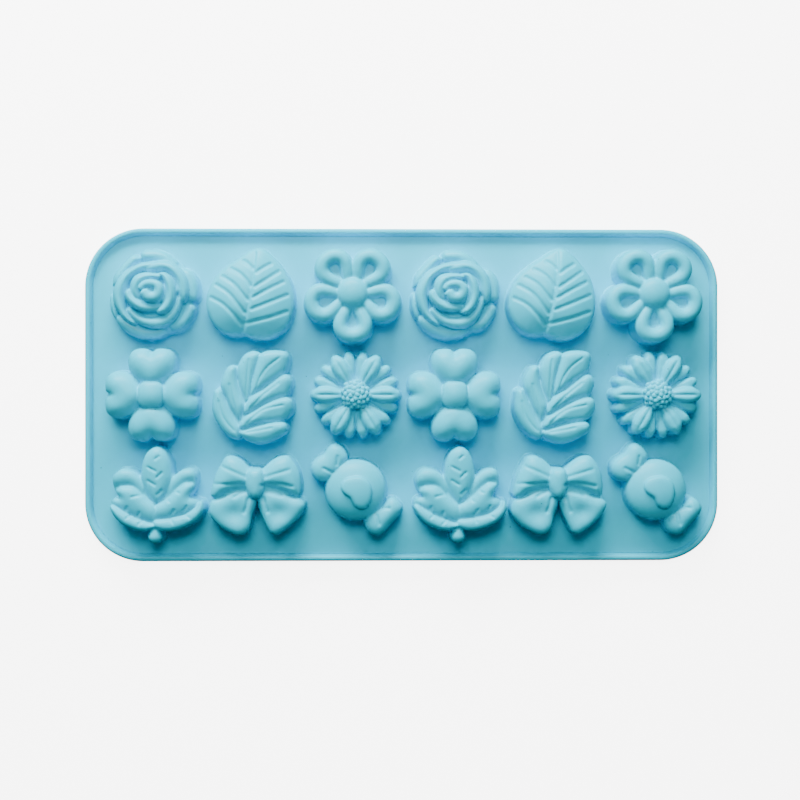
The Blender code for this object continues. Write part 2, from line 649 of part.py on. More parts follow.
def plate_mesh(name, edge, holes, thickness):
    flat = bpy.data.curves.new(name, "CURVE")
    flat.dimensions = "2D"
    flat.fill_mode = "BOTH"
    flat.extrude = thickness / 2
    for loop in [edge] + holes:
        spline = flat.splines.new("POLY")
        spline.points.add(len(loop) - 1)
        for point, (x, y) in zip(spline.points, loop):
            point.co = (x, y, 0.0, 1.0)
        spline.use_cyclic_u = True
    guide = bpy.data.objects.new(name + "_curve", flat)
    bpy.context.scene.collection.objects.link(guide)
    bpy.context.view_layer.update()
    mesh = bpy.data.meshes.new_from_object(guide.evaluated_get(bpy.context.evaluated_depsgraph_get()))
    bpy.data.objects.remove(guide, do_unlink=True)
    build = bmesh.new()
    build.from_mesh(mesh)
    bmesh.ops.remove_doubles(build, verts=build.verts, dist=WELD_DISTANCE)
    bmesh.ops.translate(build, verts=build.verts, vec=(0.0, 0.0, thickness / 2))
    bmesh.ops.recalc_face_normals(build, faces=build.faces)
    build.to_mesh(mesh)
    build.free()
    mesh.name = name
    return mesh


def build_mould():
    clear_scene()
    parts = collection_for("soap_mould")
    rows = [
        [("rose", rose()), ("leaf", leaf()), ("flower", flower())],
        [("clover", clover()), ("frond", frond()), ("daisy", daisy())],
        [("maple", maple()), ("bow", bow()), ("sweet", sweet())],
    ]
    columns = 2 * len(rows[0])

    # The pitch leaves the named gap between the widest neighbours
    boxes = [[extents(shape) for name, shape in row] for row in rows]
    spans = [row[i][1] - row[(i + 1) % len(row)][0] for row in boxes for i in range(len(row))]
    column_pitch = max(spans) + COLUMN_GAP
    stacked = [pair for upper, lower in zip(boxes, boxes[1:]) for pair in zip(upper, lower)]
    heights = [low[3] - high[2] for high, low in stacked]
    row_pitch = max(heights) + ROW_GAP
    print("pitch", column_pitch, row_pitch)

    end_reach = max(max(-row[0][0], row[-1][1]) for row in boxes)
    side_reach = max([box[3] for box in boxes[0]] + [-box[2] for box in boxes[-1]])
    half_length = (columns - 1) / 2 * column_pitch + end_reach + END_MARGIN + RIM_WIDTH
    half_width = row_pitch + side_reach + SIDE_MARGIN + RIM_WIDTH
    print("size", 2 * half_length, 2 * half_width)

    meshes = {name: cup_mesh(name, shape) for row in rows for name, shape in row}
    holes = []
    for row_index, row in enumerate(rows):
        for column in range(columns):
            name, shape = row[column % len(row)]
            side = "left" if column < len(row) else "right"
            x = (column - (columns - 1) / 2) * column_pitch + shape["seat"][0]
            y = (1 - row_index) * row_pitch + shape["seat"][1]
            node = name + "_cup_" + side
            add_part(node, meshes[name].copy(), parts, (x, y, 0.0))
            holes.append([(x + px, y + py) for px, py in outline(shape, DRAFT_RUN + JOINT_CLEARANCE)])

    inward = RIM_WIDTH + JOINT_CLEARANCE
    edge = rounded_rectangle(half_length - inward, half_width - inward, CORNER_RADIUS - inward)
    add_part("web_sheet", plate_mesh("web_sheet", edge, holes, WEB_THICKNESS), parts)
    add_part("rim_bead", rim_mesh(half_length, half_width), parts)


build_mould()
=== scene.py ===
import math

import bpy
import numpy as np
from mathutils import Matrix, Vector


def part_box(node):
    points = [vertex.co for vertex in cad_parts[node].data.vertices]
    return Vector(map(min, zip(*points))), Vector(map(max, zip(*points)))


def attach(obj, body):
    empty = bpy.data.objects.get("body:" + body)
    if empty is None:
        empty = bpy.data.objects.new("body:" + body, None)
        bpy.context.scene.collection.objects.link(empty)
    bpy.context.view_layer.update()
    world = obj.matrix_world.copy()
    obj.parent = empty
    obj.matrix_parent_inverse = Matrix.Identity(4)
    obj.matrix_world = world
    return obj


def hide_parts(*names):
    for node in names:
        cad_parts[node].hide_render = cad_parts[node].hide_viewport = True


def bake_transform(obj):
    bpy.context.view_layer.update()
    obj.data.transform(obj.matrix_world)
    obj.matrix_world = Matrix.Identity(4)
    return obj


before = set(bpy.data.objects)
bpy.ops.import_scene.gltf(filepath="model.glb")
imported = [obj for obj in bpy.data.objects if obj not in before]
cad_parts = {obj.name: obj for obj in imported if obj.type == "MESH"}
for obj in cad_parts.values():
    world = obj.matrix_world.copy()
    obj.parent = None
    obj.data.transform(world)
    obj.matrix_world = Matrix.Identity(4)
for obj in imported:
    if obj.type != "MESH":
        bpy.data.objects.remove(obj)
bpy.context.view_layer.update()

# A cup is sculpted in millimetres about its own seat, on a grid of cells, with its mouth at z = 0
cup = {
    "cell": 0.45, "reach": 27.0, "tallest": 21.5, "rowsBelow": 4, "soften": 0.26,
    "draft": 0.03,  # how far a wall leans out, per millimetre of height
    "wall": 1.8, "wallSpare": 1.5, "wallBlur": 0.5, "wallRound": 0.5, "web": 2.0, "fillet": 0.8,
    "skirt": 0.9, "seam": 0.5, "tuck": 0.35, "lipRound": 0.3, "bedShoulder": 1.0, "pressSoft": 0.25,
}


def smoothPath(points, closed=False, steps=5):
    spots = np.array(points, float)
    if closed:
        padded = np.vstack([spots[-1:], spots, spots[:2]])
    else:
        padded = np.vstack([2 * spots[:1] - spots[1:2], spots, 2 * spots[-1:] - spots[-2:-1]])
    t = (np.arange(steps) / steps)[:, None]
    runs = []
    for before, start, stop, after in zip(padded, padded[1:], padded[2:], padded[3:]):
        bend = 2 * before - 5 * start + 4 * stop - after
        twist = 3 * start - before - 3 * stop + after
        runs.append(start + 0.5 * ((stop - before) * t + bend * t ** 2 + twist * t ** 3))
    if not closed:
        runs.append(spots[-1:])
    return np.vstack(runs)


def alongPath(x, y, path):
    # The distance from a path, the share of its length at the nearest place, and the signed distance
    away = np.full(np.broadcast(x, y).shape, np.inf)
    share = np.zeros(away.shape)
    side = np.ones(away.shape)
    lengths = np.hypot(*np.diff(path, axis=0).T)
    start = 0.0
    for a, b, length in zip(path, path[1:], lengths):
        runX, runY = (b - a) / length
        ahead = np.clip((x - a[0]) * runX + (y - a[1]) * runY, 0, length)
        offX, offY = x - a[0] - ahead * runX, y - a[1] - ahead * runY
        gap = np.hypot(offX, offY)
        nearer = gap < away
        away = np.where(nearer, gap, away)
        share = np.where(nearer, start + ahead, share)
        side = np.where(nearer, np.sign(runX * offY - runY * offX), side)
        start += length
    return away, share / start, side * away


def insideOf(x, y, loop):
    away = alongPath(x, y, np.vstack([loop, loop[:1]]))[0]
    inside = np.zeros(away.shape, bool)
    for a, b in zip(loop, np.roll(loop, -1, axis=0)):
        if a[1] != b[1]:
            crossing = a[0] + (b[0] - a[0]) * (y - a[1]) / (b[1] - a[1])
            inside ^= ((a[1] > y) != (b[1] > y)) & (x < crossing)
    return np.where(inside, -away, away)


def outlineEdge(x, y, outline):
    return insideOf(x, y, smoothPath(outline, True, 3))


def mirrored(half, tip=None, foot=None):
    # An outline from its upper half, with a point of its own between the halves and at the end
    half = np.array(half)
    parts = [half, None if tip is None else [tip], half[::-1] * (1, -1), None if foot is None else [foot]]
    return np.vstack([part for part in parts if part is not None])


def turned(x, y, degrees):
    cosine, sine = math.cos(math.radians(degrees)), math.sin(math.radians(degrees))
    return x * cosine + y * sine, y * cosine - x * sine


def melt(a, b, soft):
    if a is None:  # the first piece of a body
        return b
    mix = np.clip(0.5 + 0.5 * (b - a) / soft, 0, 1)
    return b + (a - b) * mix - soft * mix * (1 - mix)


def carve(body, tool, soft):
    return -melt(-body, tool, soft)


def tube(x, y, z, path, radius, top):
    away, share = alongPath(x, y, path)[:2]
    radius = np.interp(share, np.linspace(0, 1, len(radius)), radius)
    top = np.interp(share, np.linspace(0, 1, len(top)), top)
    spine = top - radius
    return np.hypot(away, np.maximum(z - spine, 0)) - radius - cup["draft"] * np.maximum(spine - z, 0)


def pad(z, edge, top, shoulder):
    side = edge - cup["draft"] * np.maximum(top - z, 0) + shoulder
    cap = z - top + shoulder
    outside = np.hypot(np.maximum(side, 0), np.maximum(cap, 0))
    return np.minimum(np.maximum(side, cap), 0) + outside - shoulder


def blur(values, spread):
    reach = int(math.ceil(3 * spread / cup["cell"]))
    kernel = np.exp(-0.5 * (np.arange(-reach, reach + 1) * cup["cell"] / spread) ** 2)
    kernel /= kernel.sum()
    for axis in range(values.ndim):
        if values.shape[axis] == 1:
            continue
        margin = [(reach, reach) if a == axis else (0, 0) for a in range(values.ndim)]
        wide = np.pad(values, margin, mode="edge")
        part = [slice(None)] * values.ndim
        summed = 0
        for shift, weight in enumerate(kernel):
            part[axis] = slice(shift, shift + values.shape[axis])
            summed = summed + weight * wide[tuple(part)]
        values = summed
    return values


def swell(edge, reach, drop, spread):
    # A rounded top: level from the reach inwards, and down by the drop at the edge
    inside = np.clip(1 + edge / reach, 0, 1)
    return blur(drop * (np.sqrt(1 - inside ** 2) - 1), spread)


def bedding(x, y, z, outline, top):
    return pad(z, insideOf(x, y, np.array(outline)), top, cup["bedShoulder"])


def press(top, away, half, depth):
    return top - depth * (0.5 - 0.5 * np.tanh((away - half) / cup["pressSoft"]))


def dimple(x, y, middle, size):
    return np.exp(-((x - middle[0]) / size[0]) ** 2 - ((y - middle[1]) / size[1]) ** 2)


def dome(x, y, z, radius, top, height):
    px, py = x / radius, y / radius
    pz = np.maximum(z - top + height, 0) / height
    flat = np.sqrt(px ** 2 + py ** 2 + pz ** 2)
    slope = np.sqrt((px / radius) ** 2 + (py / radius) ** 2 + (pz / height) ** 2)
    return flat * (flat - 1) / np.maximum(slope, 1e-6) - cup["draft"] * np.maximum(top - height - z, 0)


def groove(x, y, z, path, surface, width):
    return np.hypot(alongPath(x, y, path)[0], z - surface) - width


# In every motif a bulge is the reach, drop and blur of its rounded top; a petal is its height and outline
rose = {
    "disc": 18.6, "discShoulder": 1.5, "discAt": [0, 6, 9, 12, 16, 20],
    "discTop": [16.4, 14.8, 13.4, 11.6, 9.4, 8.4],
    "lean": (0.183, -0.073), "leanFrom": 16, "lift": 0.3, "bulge": (4.0, 3.6, 0.3),
    "shoulder": 0.6, "soft": 0.1, "dish": 0.3, "dishReach": 5,
    "crests": [(14, 19.0), (18, 15.0), (21, 9.0)],  # below a height, the radius inside which petals dip
    "budTop": 17.6, "budShoulder": 1.2, "budSoft": 0.2, "rollSoft": 0.15,
    "rollRadius": [2.3, 2.35, 2.4, 2.35, 2.2, 2.0, 1.8, 1.5, 1.2],
    "rollTop": [20.1, 20.2, 20.2, 20.1, 20.1, 20.0, 19.8, 19.4, 19.0],
    "petals": [
        (12.3, [(-6, 18.2), (-5.4, 20.2), (-3.6, 21.3), (0, 21.5), (3.2, 21.1), (6, 19.9), (8.6, 17.9),
                (11.6, 14.6), (8, 13), (0, 14), (-5, 15.5)]),
        (12, [(-5.6, 16.6), (-6.6, 18.3), (-8.3, 19.1), (-9.8, 18.8), (-12, 17), (-15.5, 13.2),
              (-18.2, 9.8), (-19, 6), (-18.6, 4), (-14, 7), (-9, 12)]),
        (12.6, [(12, 12.4), (13.8, 12.8), (16, 12.3), (18.2, 11), (20.2, 8.2), (21.2, 4.8), (21.2, 0),
                (20.4, -2.4), (19, -3.2), (15, -3), (13.5, 2), (13, 8)]),
        (12.3, [(19.6, -5.2), (18.5, -3.9), (16.2, -3.6), (13, -4.4), (10, -9.5), (6, -13.5),
                (6.6, -15.2), (8, -16.4), (10.5, -16.8), (13.2, -16), (16.2, -13.6), (18.6, -10),
                (19.8, -7)]),
        (12.2, [(-17.4, -11), (-16.6, -13.6), (-13.5, -16.8), (-9, -19.3), (-4, -20.5), (1, -20.3),
                (4.8, -19), (6.6, -16.8), (5, -13.5), (0, -14), (-6, -12), (-12, -10), (-16, -9.4)]),
        (11.6, [(-18.6, 1.4), (-19.6, 0.6), (-20.2, -1), (-20.3, -5), (-19.4, -8.4), (-17.8, -11),
                (-15.8, -10.2), (-16.6, -6), (-17.4, -2)]),
        (16, [(1, 15.4), (-2.8, 15.6), (-6.5, 14.9), (-10.5, 12.9), (-14.5, 9.9), (-17.5, 6),
              (-18.9, 1.8), (-18.8, -2), (-17.5, -6), (-15.4, -9.5), (-12.8, -12), (-9.8, -13.7),
              (-8, -13.9), (-8.4, -12.3), (-11, -9.6), (-12.5, -6.8), (-13.1, -3), (-13.2, 0),
              (-12, 3.2), (-11, 6.3), (-9.2, 8.6), (-6.3, 10.4), (-3, 11.2), (0.5, 12.4)]),
        (16.5, [(-5.3, 11.4), (-4, 13.2), (-1.5, 14.8), (1.5, 15.9), (4.8, 16.2), (8.4, 15.3),
                (11.8, 13.1), (14.4, 9.9), (15.9, 6), (16.3, 2), (15.8, -0.6), (14.2, -3.6),
                (12.2, -1.6), (10.8, 0.6), (10.1, 2), (10, 5.2), (8.8, 8), (6.6, 10.2), (4.5, 10.7),
                (2, 10.2), (-1, 10.4), (-3.5, 10.6)]),
        (16.7, [(11.7, 0.8), (12.9, -0.1), (13.2, -2.4), (12.4, -6), (10.8, -9.6), (8.4, -12.6),
                (5, -14.7), (1, -15.4), (-3, -14.9), (-6.8, -13.5), (-10, -10.9), (-12, -8.3),
                (-12.5, -6.6), (-11.6, -5.2), (-9.4, -6.2), (-6.2, -8.3), (-2, -9.4), (2.8, -9.1),
                (6.1, -7.5), (8.8, -4.8), (10.4, -1.6)]),
        (18.5, [(3.6, 9.2), (1.5, 10.2), (-1, 10.5), (-4, 10.7), (-7, 10.1), (-9.2, 8.7), (-10.7, 6.2),
                (-11.1, 3), (-10.5, 0.4), (-8.8, -1.8), (-5.6, -2.6), (-5.6, 1.2), (-4.9, 3.9),
                (-3.6, 5.6), (-1.6, 6.8), (0.5, 7.4), (3, 7.2)]),
        (18.8, [(-11.9, 3.1), (-13.2, 1.6), (-13.4, -0.4), (-12.4, -2.9), (-10.4, -5.2), (-7.6, -6.9),
                (-4.2, -7.8), (-1, -7.8), (1.6, -7.2), (3.4, -4.6), (1.5, -3.7), (-1.8, -3.2),
                (-5, -2.3), (-7.8, -1.1), (-9.8, 0.6), (-10.8, 2.4)]),
        (19, [(1.7, 10.2), (3, 10.6), (4.5, 10.8), (6.2, 10.1), (8.2, 8.3), (9.6, 5.8), (10.2, 2.5),
              (10.1, -1), (9, -4.4), (7.2, -7), (5, -8.8), (2.8, -8.7), (1.2, -8), (2, -5.6),
              (3.6, -3.2), (4.8, -0.5), (5, 3), (4.6, 6), (3.6, 8.4)])],
    "bud": [(-5.2, 0.6), (-4.6, -1.5), (-2.8, -3.1), (-0.3, -4.1), (2.4, -4.1), (4.4, -2.6),
            (5.4, -0.1), (5.6, 2.7), (4.8, 4.9), (3, 6.3), (1.1, 6.8), (-1, 6.3), (-3, 5.1), (-4.6, 3.3)],
    "roll": [(-3.3, 0.9), (-1.7, -0.9), (0.8, -1.1), (2.7, 0.5), (3.1, 2.9), (1.7, 4.7), (-0.9, 5.3),
             (-3.6, 4.6), (-5, 3.2)],
}


def roseField(x, y, z):
    rho = np.hypot(x, y)
    body = pad(z, rho - rose["disc"], np.interp(rho, rose["discAt"], rose["discTop"]), rose["discShoulder"])
    for height, outline in rose["petals"]:
        # Traced on the photo, where a higher petal stands further out from the lens axis
        lean = np.array(rose["lean"]) * (height - rose["leanFrom"])
        edge = insideOf(x, y, smoothPath(outline, True, 3) + lean)
        crest = next(radius for below, radius in rose["crests"] if height < below)
        dish = rose["dish"] * np.clip(crest - rho, 0, rose["dishReach"])
        top = height + rose["lift"] + swell(edge, *rose["bulge"]) - dish
        body = melt(body, pad(z, edge, top, rose["shoulder"]), rose["soft"])
    bud = pad(z, outlineEdge(x, y, rose["bud"]), rose["budTop"], rose["budShoulder"])
    # The heart is one roll of petal, wound up clockwise from its blunt end
    heart = tube(x, y, z, smoothPath(rose["roll"]), rose["rollRadius"], rose["rollTop"])
    return melt(melt(body, bud, rose["budSoft"]), heart, rose["rollSoft"])


leaf = {
    "crown": 19.5, "fall": 5.2, "fallReach": 16, "fallBlur": 1.2, "shoulder": 2.0,
    "step": 1.0, "stepReach": 3.0, "stepSoft": 0.25,  # the left half steps down along the rib
    "ribDepth": 0.35, "ribHalf": 0.8, "veinHalf": 0.8, "veinDepth": 0.65,
    "outline": [(3, 22), (-0.9, 20.7), (-5, 17.9), (-9.2, 15.2), (-12.8, 12.5), (-15.7, 9.9),
                (-17.8, 7.2), (-19.6, 3.6), (-20.8, 0.1), (-21.2, -3.5), (-21.1, -6.5), (-19.9, -10.3),
                (-17.8, -13.9), (-14.5, -16.9), (-10.4, -18.6), (-6.8, -18.9), (-4.6, -18.6),
                (-2.4, -19.2), (0.9, -20.4), (4.5, -20.9), (8.3, -20.4), (12.5, -18.3), (16, -15.1),
                (18.4, -10.6), (19.6, -5.3), (19.6, -0.5), (18.7, 4.2), (16.9, 8.7), (14.2, 12.8),
                (11.3, 16.4), (8, 19.6), (5.6, 21.3)],
    "rib": [(2.1, 19.5), (1.5, 10.4), (0.3, 1.2), (-1.5, -8.2), (-3.9, -17.7), (-4.9, -20.5)],
    "veins": [[(-3.8, 15.6), (-1.6, 14.2), (0.7, 12)],
              [(-9.4, 12), (-5.4, 9.7), (-2.3, 6.6), (-0.4, 3.9)],
              [(-13.4, 8.3), (-8.2, 4.9), (-4, 0), (-1.8, -2.6)],
              [(-16.4, 4.5), (-10.6, 0.6), (-5.8, -5.2), (-3.1, -8.6)],
              [(-18.7, -1.5), (-13.5, -4.3), (-9, -8.5), (-4.6, -13.8)],
              [(2.6, 10), (5.6, 12.2), (8.9, 14.1)], [(2, 3.4), (7.3, 6.9), (12.6, 10.6)],
              [(1.1, -1.7), (7.9, 2.2), (14.7, 5.8)], [(0.3, -7), (8, -4), (16.6, -0.3)],
              [(-2, -13.3), (8, -10.9), (16.3, -8)]],
}


def leafField(x, y, z):
    edge = outlineEdge(x, y, leaf["outline"])
    across = alongPath(x, y, smoothPath(leaf["rib"]))[2]
    left = 0.5 - 0.5 * np.tanh(across / leaf["stepSoft"])
    fall = leaf["fall"] * np.clip(1 + edge / leaf["fallReach"], 0, 1) ** 2
    top = leaf["crown"] - blur(fall, leaf["fallBlur"])
    top = top - leaf["step"] * left * np.exp(-np.abs(across) / leaf["stepReach"])
    top = top - leaf["ribDepth"] * np.exp(-(across / leaf["ribHalf"]) ** 2)
    for vein in leaf["veins"]:
        top = press(top, alongPath(x, y, smoothPath(vein))[0], leaf["veinHalf"], leaf["veinDepth"])
    return pad(z, edge, top, leaf["shoulder"])


flower = {
    "aside": 0.7, "petals": 5, "firstAt": 270, "petalSoft": 0.3,
    "disc": 11.0, "discTop": 14.4, "discShoulder": 1.5,
    "floorAt": 13.6, "floor": 6.0, "floorShoulder": 1.0,  # the low floor inside each looped petal
    "heart": 7.5, "heartTop": 20.0, "heartBulge": (7.5, 4.4, 0.7), "heartShoulder": 1.2, "heartSoft": 0.2,
    "petalEnd": (19.8, 0.0), "petalRadius": [2.3, 3.0, 3.35, 3.4, 3.4, 3.4, 3.35, 3.0, 2.3],
    "petalTop": [16.4, 17.6, 18.3, 18.6, 18.6, 18.6, 18.3, 17.6, 16.4],
    "halfPetal": [(5, 1.6), (7.5, 2.7), (9.5, 3.9), (11.5, 5), (13.5, 5.75), (15.5, 5.8), (17.4, 5),
                  (18.9, 3.5), (19.6, 1.8)],
}


def flowerField(x, y, z):
    x = x - flower["aside"]
    rho = np.hypot(x, y)
    body = pad(z, rho - flower["disc"], flower["discTop"], flower["discShoulder"])
    loop = smoothPath(mirrored(flower["halfPetal"], flower["petalEnd"]))
    for turn in range(flower["petals"]):
        ahead, aside = turned(x, y, flower["firstAt"] + 360 // flower["petals"] * turn)
        inner = np.hypot(ahead - flower["floorAt"], aside) - flower["floor"]
        body = np.minimum(body, pad(z, inner, flower["discTop"], flower["floorShoulder"]))
        petal = tube(ahead, aside, z, loop, flower["petalRadius"], flower["petalTop"])
        body = melt(body, petal, flower["petalSoft"])
    edge = rho - flower["heart"]
    top = flower["heartTop"] + swell(edge, *flower["heartBulge"])
    return melt(body, pad(z, edge, top, flower["heartShoulder"]), flower["heartSoft"])


clover = {
    "top": 19.2, "bulge": (8.8, 6.0, 1.6), "shoulder": 1.2, "soft": 0.35,
    "cleft": 1.5, "cleftHalf": 1.2, "cleftFrom": 15.0, "sink": 0.9, "sinkFrom": 9.0, "fade": 5.0,
    "knob": (2.7, 2.9), "knobRound": 3.0, "knobTop": 20.2, "knobFall": 1.9,
    "knobShoulder": 0.8, "knobSoft": 0.25, "notch": (20.0, 0.0), "foot": (2.5, 0.0),
    "halfHeart": [(3.6, 3.6), (7.2, 7.4), (9.6, 9.3), (12.3, 10.6), (15.9, 10.9), (19, 10), (20.9, 8),
                  (21.6, 5), (21.3, 2)],
}


def cloverField(x, y, z):
    loop = mirrored(clover["halfHeart"], clover["notch"], clover["foot"])
    body = None
    for turn in range(4):
        ahead, aside = turned(x, y, 90 * turn)
        edge = outlineEdge(ahead, aside, loop)
        outer = np.clip((ahead - clover["cleftFrom"]) / clover["fade"], 0, 1) ** 2
        inner = np.clip((clover["sinkFrom"] - ahead) / clover["fade"], 0, 1) ** 2
        cleft = np.exp(-(aside / clover["cleftHalf"]) ** 2) * outer
        top = clover["top"] + swell(edge, *clover["bulge"]) - clover["cleft"] * cleft - clover["sink"] * inner
        body = melt(body, pad(z, edge, top, clover["shoulder"]), clover["soft"])
    wide, deep = clover["knob"]
    boxX, boxY = np.abs(x) - wide, np.abs(y) - deep
    edge = np.hypot(np.maximum(boxX, 0), np.maximum(boxY, 0)) + np.minimum(np.maximum(boxX, boxY), 0)
    edge = edge - clover["knobRound"]
    bulge = (x / (wide + clover["knobRound"])) ** 2 + (y / (deep + clover["knobRound"])) ** 2
    top = clover["knobTop"] - clover["knobFall"] * bulge
    return melt(body, pad(z, edge, top, clover["knobShoulder"]), clover["knobSoft"])


# A leaflet is its height, its tilt across the rib, its outline and its rib
frond = {
    "grow": 0.2, "bulge": (3.8, 3.2, 0.4), "shoulder": 1.0, "soft": 0.3, "bedTop": 14.8,
    "tiltLow": -1.6, "tiltHigh": 0.3, "tiltBlur": 0.8, "ribWidth": 0.55, "ribSoft": 0.25,
    "leaflets": [
        (16.9, 0, [(-17.9, 4.8), (-17.4, 6.3), (-15.6, 7.2), (-14.4, 6.3), (-13.1, 3.5), (-11, -1.1),
                   (-8.8, -5.7), (-6.6, -9.4), (-5.7, -11.3), (-5.7, -13.8), (-6.3, -16.2),
                   (-8.2, -16.2), (-11, -15), (-14.4, -11.6), (-17.1, -7), (-18.5, -2)],
         [(-15.4, 1.1), (-14, -4.5), (-11.6, -8.8), (-8.2, -12.5)]),
        (17.2, 0, [(-14.5, 7.8), (-14.2, 11.2), (-12.8, 14.6), (-11, 17.3), (-8.8, 17.9), (-7.3, 17.1),
                   (-7.2, 13.1), (-6.3, 7.8), (-4.5, 2.9), (-3.2, -0.2), (-4.2, -3.9), (-5.7, -7.6),
                   (-6.6, -7.9), (-8.2, -5.1), (-10.6, -1.1), (-12.8, 4.1)],
         [(-10.5, 9.1), (-9.1, 2.9), (-7.6, -3.3), (-6.5, -7.3)]),
        (17.4, 0, [(-1.4, 24), (0.8, 24.5), (3.5, 23.6), (3.7, 22), (2.3, 17.7), (1.1, 14), (0.2, 9.7),
                   (-0.5, 6), (-1.4, 2), (-2.9, 0.7), (-3.9, 2.9), (-5.7, 7.8), (-6.6, 12.2),
                   (-6.9, 15.9), (-6, 19), (-3.9, 22.4)],
         [(-1.4, 20.5), (-2, 13.7), (-2.6, 6), (-2.7, 2.9)]),
        (17.6, 0.16, [(3.9, 23), (6.6, 24.4), (11, 24.8), (15.3, 24.2), (16.8, 22.7), (17, 20.2),
                      (15.9, 15.9), (13.4, 13.1), (9.1, 10.3), (5.1, 7.5), (1.7, 5.1), (-0.2, 3.5),
                      (-0.6, 4.8), (-0.2, 9.1), (1.1, 14.6), (2.6, 19.9)],
         [(1.4, 4.5), (3.5, 11.5), (7.3, 17.1), (12.8, 21.4)]),
        (17.8, 0.18, [(-3.9, -3.9), (-3.2, -0.8), (-1.4, 2.3), (1.1, 4.5), (5.1, 6.6), (9.7, 10),
                      (13.4, 12.8), (15.6, 13.6), (17.4, 12.8), (18.5, 10.9), (18.5, 8.5), (17.4, 5.4),
                      (15.9, 3.5), (11.3, 2), (6.6, 0.1), (2, -2.3), (-1.4, -4.5), (-3.2, -5.1)],
         [(-1, -2.2), (2.3, 1.1), (6.6, 5.1), (12.5, 9.7)]),
        (18, 0.18, [(-5.7, -10.7), (-5.1, -8.2), (-3.2, -5.7), (0.5, -3.6), (5.1, -0.8), (9.7, 1.4),
                    (13.7, 2.8), (16.5, 2.9), (18.4, 1.7), (19, -0.8), (18.7, -3.3), (16.8, -6),
                    (14.4, -7.9), (9.7, -8.8), (5.1, -9.1), (0.5, -10.1), (-3.9, -11.9)],
         [(-2.2, -9), (2, -5.1), (6.6, -2.3), (14.4, -0.5)]),
        (18.1, 0.18, [(-5.6, -13.5), (-5.1, -12.5), (-2, -11.6), (3.5, -10.1), (9.7, -8.7),
                      (13.7, -8.4), (15.6, -9.1), (16.4, -11), (15.6, -13.5), (12.2, -15.6),
                      (8.2, -17.5), (4.5, -18.4), (0.5, -18.1), (-3.2, -16.5), (-5.1, -15)],
         [(-2.2, -13.3), (2.3, -12.5), (9.4, -11.1)])],
    "bed": [(-13, -1), (-8.5, 8), (-4, 15), (1, 17), (10, 17), (11, 9.5), (12, 0), (11, -9.5), (4, -15),
            (-8, -12.5)],
}


def frondField(x, y, z):
    body = None
    for height, tilt, outline, rib in frond["leaflets"]:
        edge = outlineEdge(x, y, outline) - frond["grow"]
        line = smoothPath(rib)
        longer = np.vstack([3 * line[:1] - 2 * line[1:2], line, 8 * line[-1:] - 7 * line[-2:-1]])
        across = alongPath(x, y, longer)[2]
        slope = blur(np.clip(tilt * across, frond["tiltLow"], frond["tiltHigh"]), frond["tiltBlur"])
        top = height + swell(edge, *frond["bulge"]) + slope
        leaflet = pad(z, edge, top, frond["shoulder"])
        leaflet = carve(leaflet, groove(x, y, z, line, top, frond["ribWidth"]), frond["ribSoft"])
        body = melt(body, leaflet, frond["soft"])
    return np.minimum(body, bedding(x, y, z, frond["bed"], frond["bedTop"]))


# A kind of petal is its lean from the main direction, half outline, height, reach, drop and fold
daisy = {
    "aside": 0.6, "petals": 6, "disc": 12.0, "discTop": 12.8, "discShoulder": 1.5,
    "blur": 0.35, "shoulder": 0.9, "soft": 0.25, "foldHalf": 0.7, "foldEnd": 20.6, "foldFade": 4.0,
    "riseAt": [6, 12, 17, 21.5], "rise": [-0.6, 0.2, 0.2, -1.2],
    "dome": 6.8, "domeTop": 19.6, "domeHeight": 6.0, "domeSoft": 0.3,
    "kinds": [(20, "slim", 15.0, 2.4, 2.2, 0.3), (-20, "slim", 14.8, 2.4, 2.2, 0.3),
              (0, "broad", 17.4, 3.8, 3.0, 1.1)],
    "broad": [(4.5, 1.6), (7, 2.45), (10, 3.4), (13, 3.95), (16.4, 3.8), (19.4, 2.5), (20.9, 1)],
    "slim": [(4.5, 0.8), (9, 1.5), (13, 2.15), (16.6, 2.55), (19.2, 2), (20.4, 0.8)],
}


def daisyField(x, y, z):
    x = x - daisy["aside"]
    body = pad(z, np.hypot(x, y) - daisy["disc"], daisy["discTop"], daisy["discShoulder"])
    for turn in range(daisy["petals"]):
        for lean, half, height, reach, drop, depth in daisy["kinds"]:
            ahead, aside = turned(x, y, 360 // daisy["petals"] * turn + lean)
            edge = outlineEdge(ahead, aside, mirrored(daisy[half]))
            fade = np.clip((daisy["foldEnd"] - ahead) / daisy["foldFade"], 0, 1)
            fold = np.exp(-np.abs(aside) / daisy["foldHalf"]) * fade
            rise = np.interp(ahead, daisy["riseAt"], daisy["rise"])
            top = height + rise + swell(edge, reach, drop, daisy["blur"]) - depth * fold
            body = melt(body, pad(z, edge, top, daisy["shoulder"]), daisy["soft"])
    return melt(body, dome(x, y, z, daisy["dome"], daisy["domeTop"], daisy["domeHeight"]), daisy["domeSoft"])


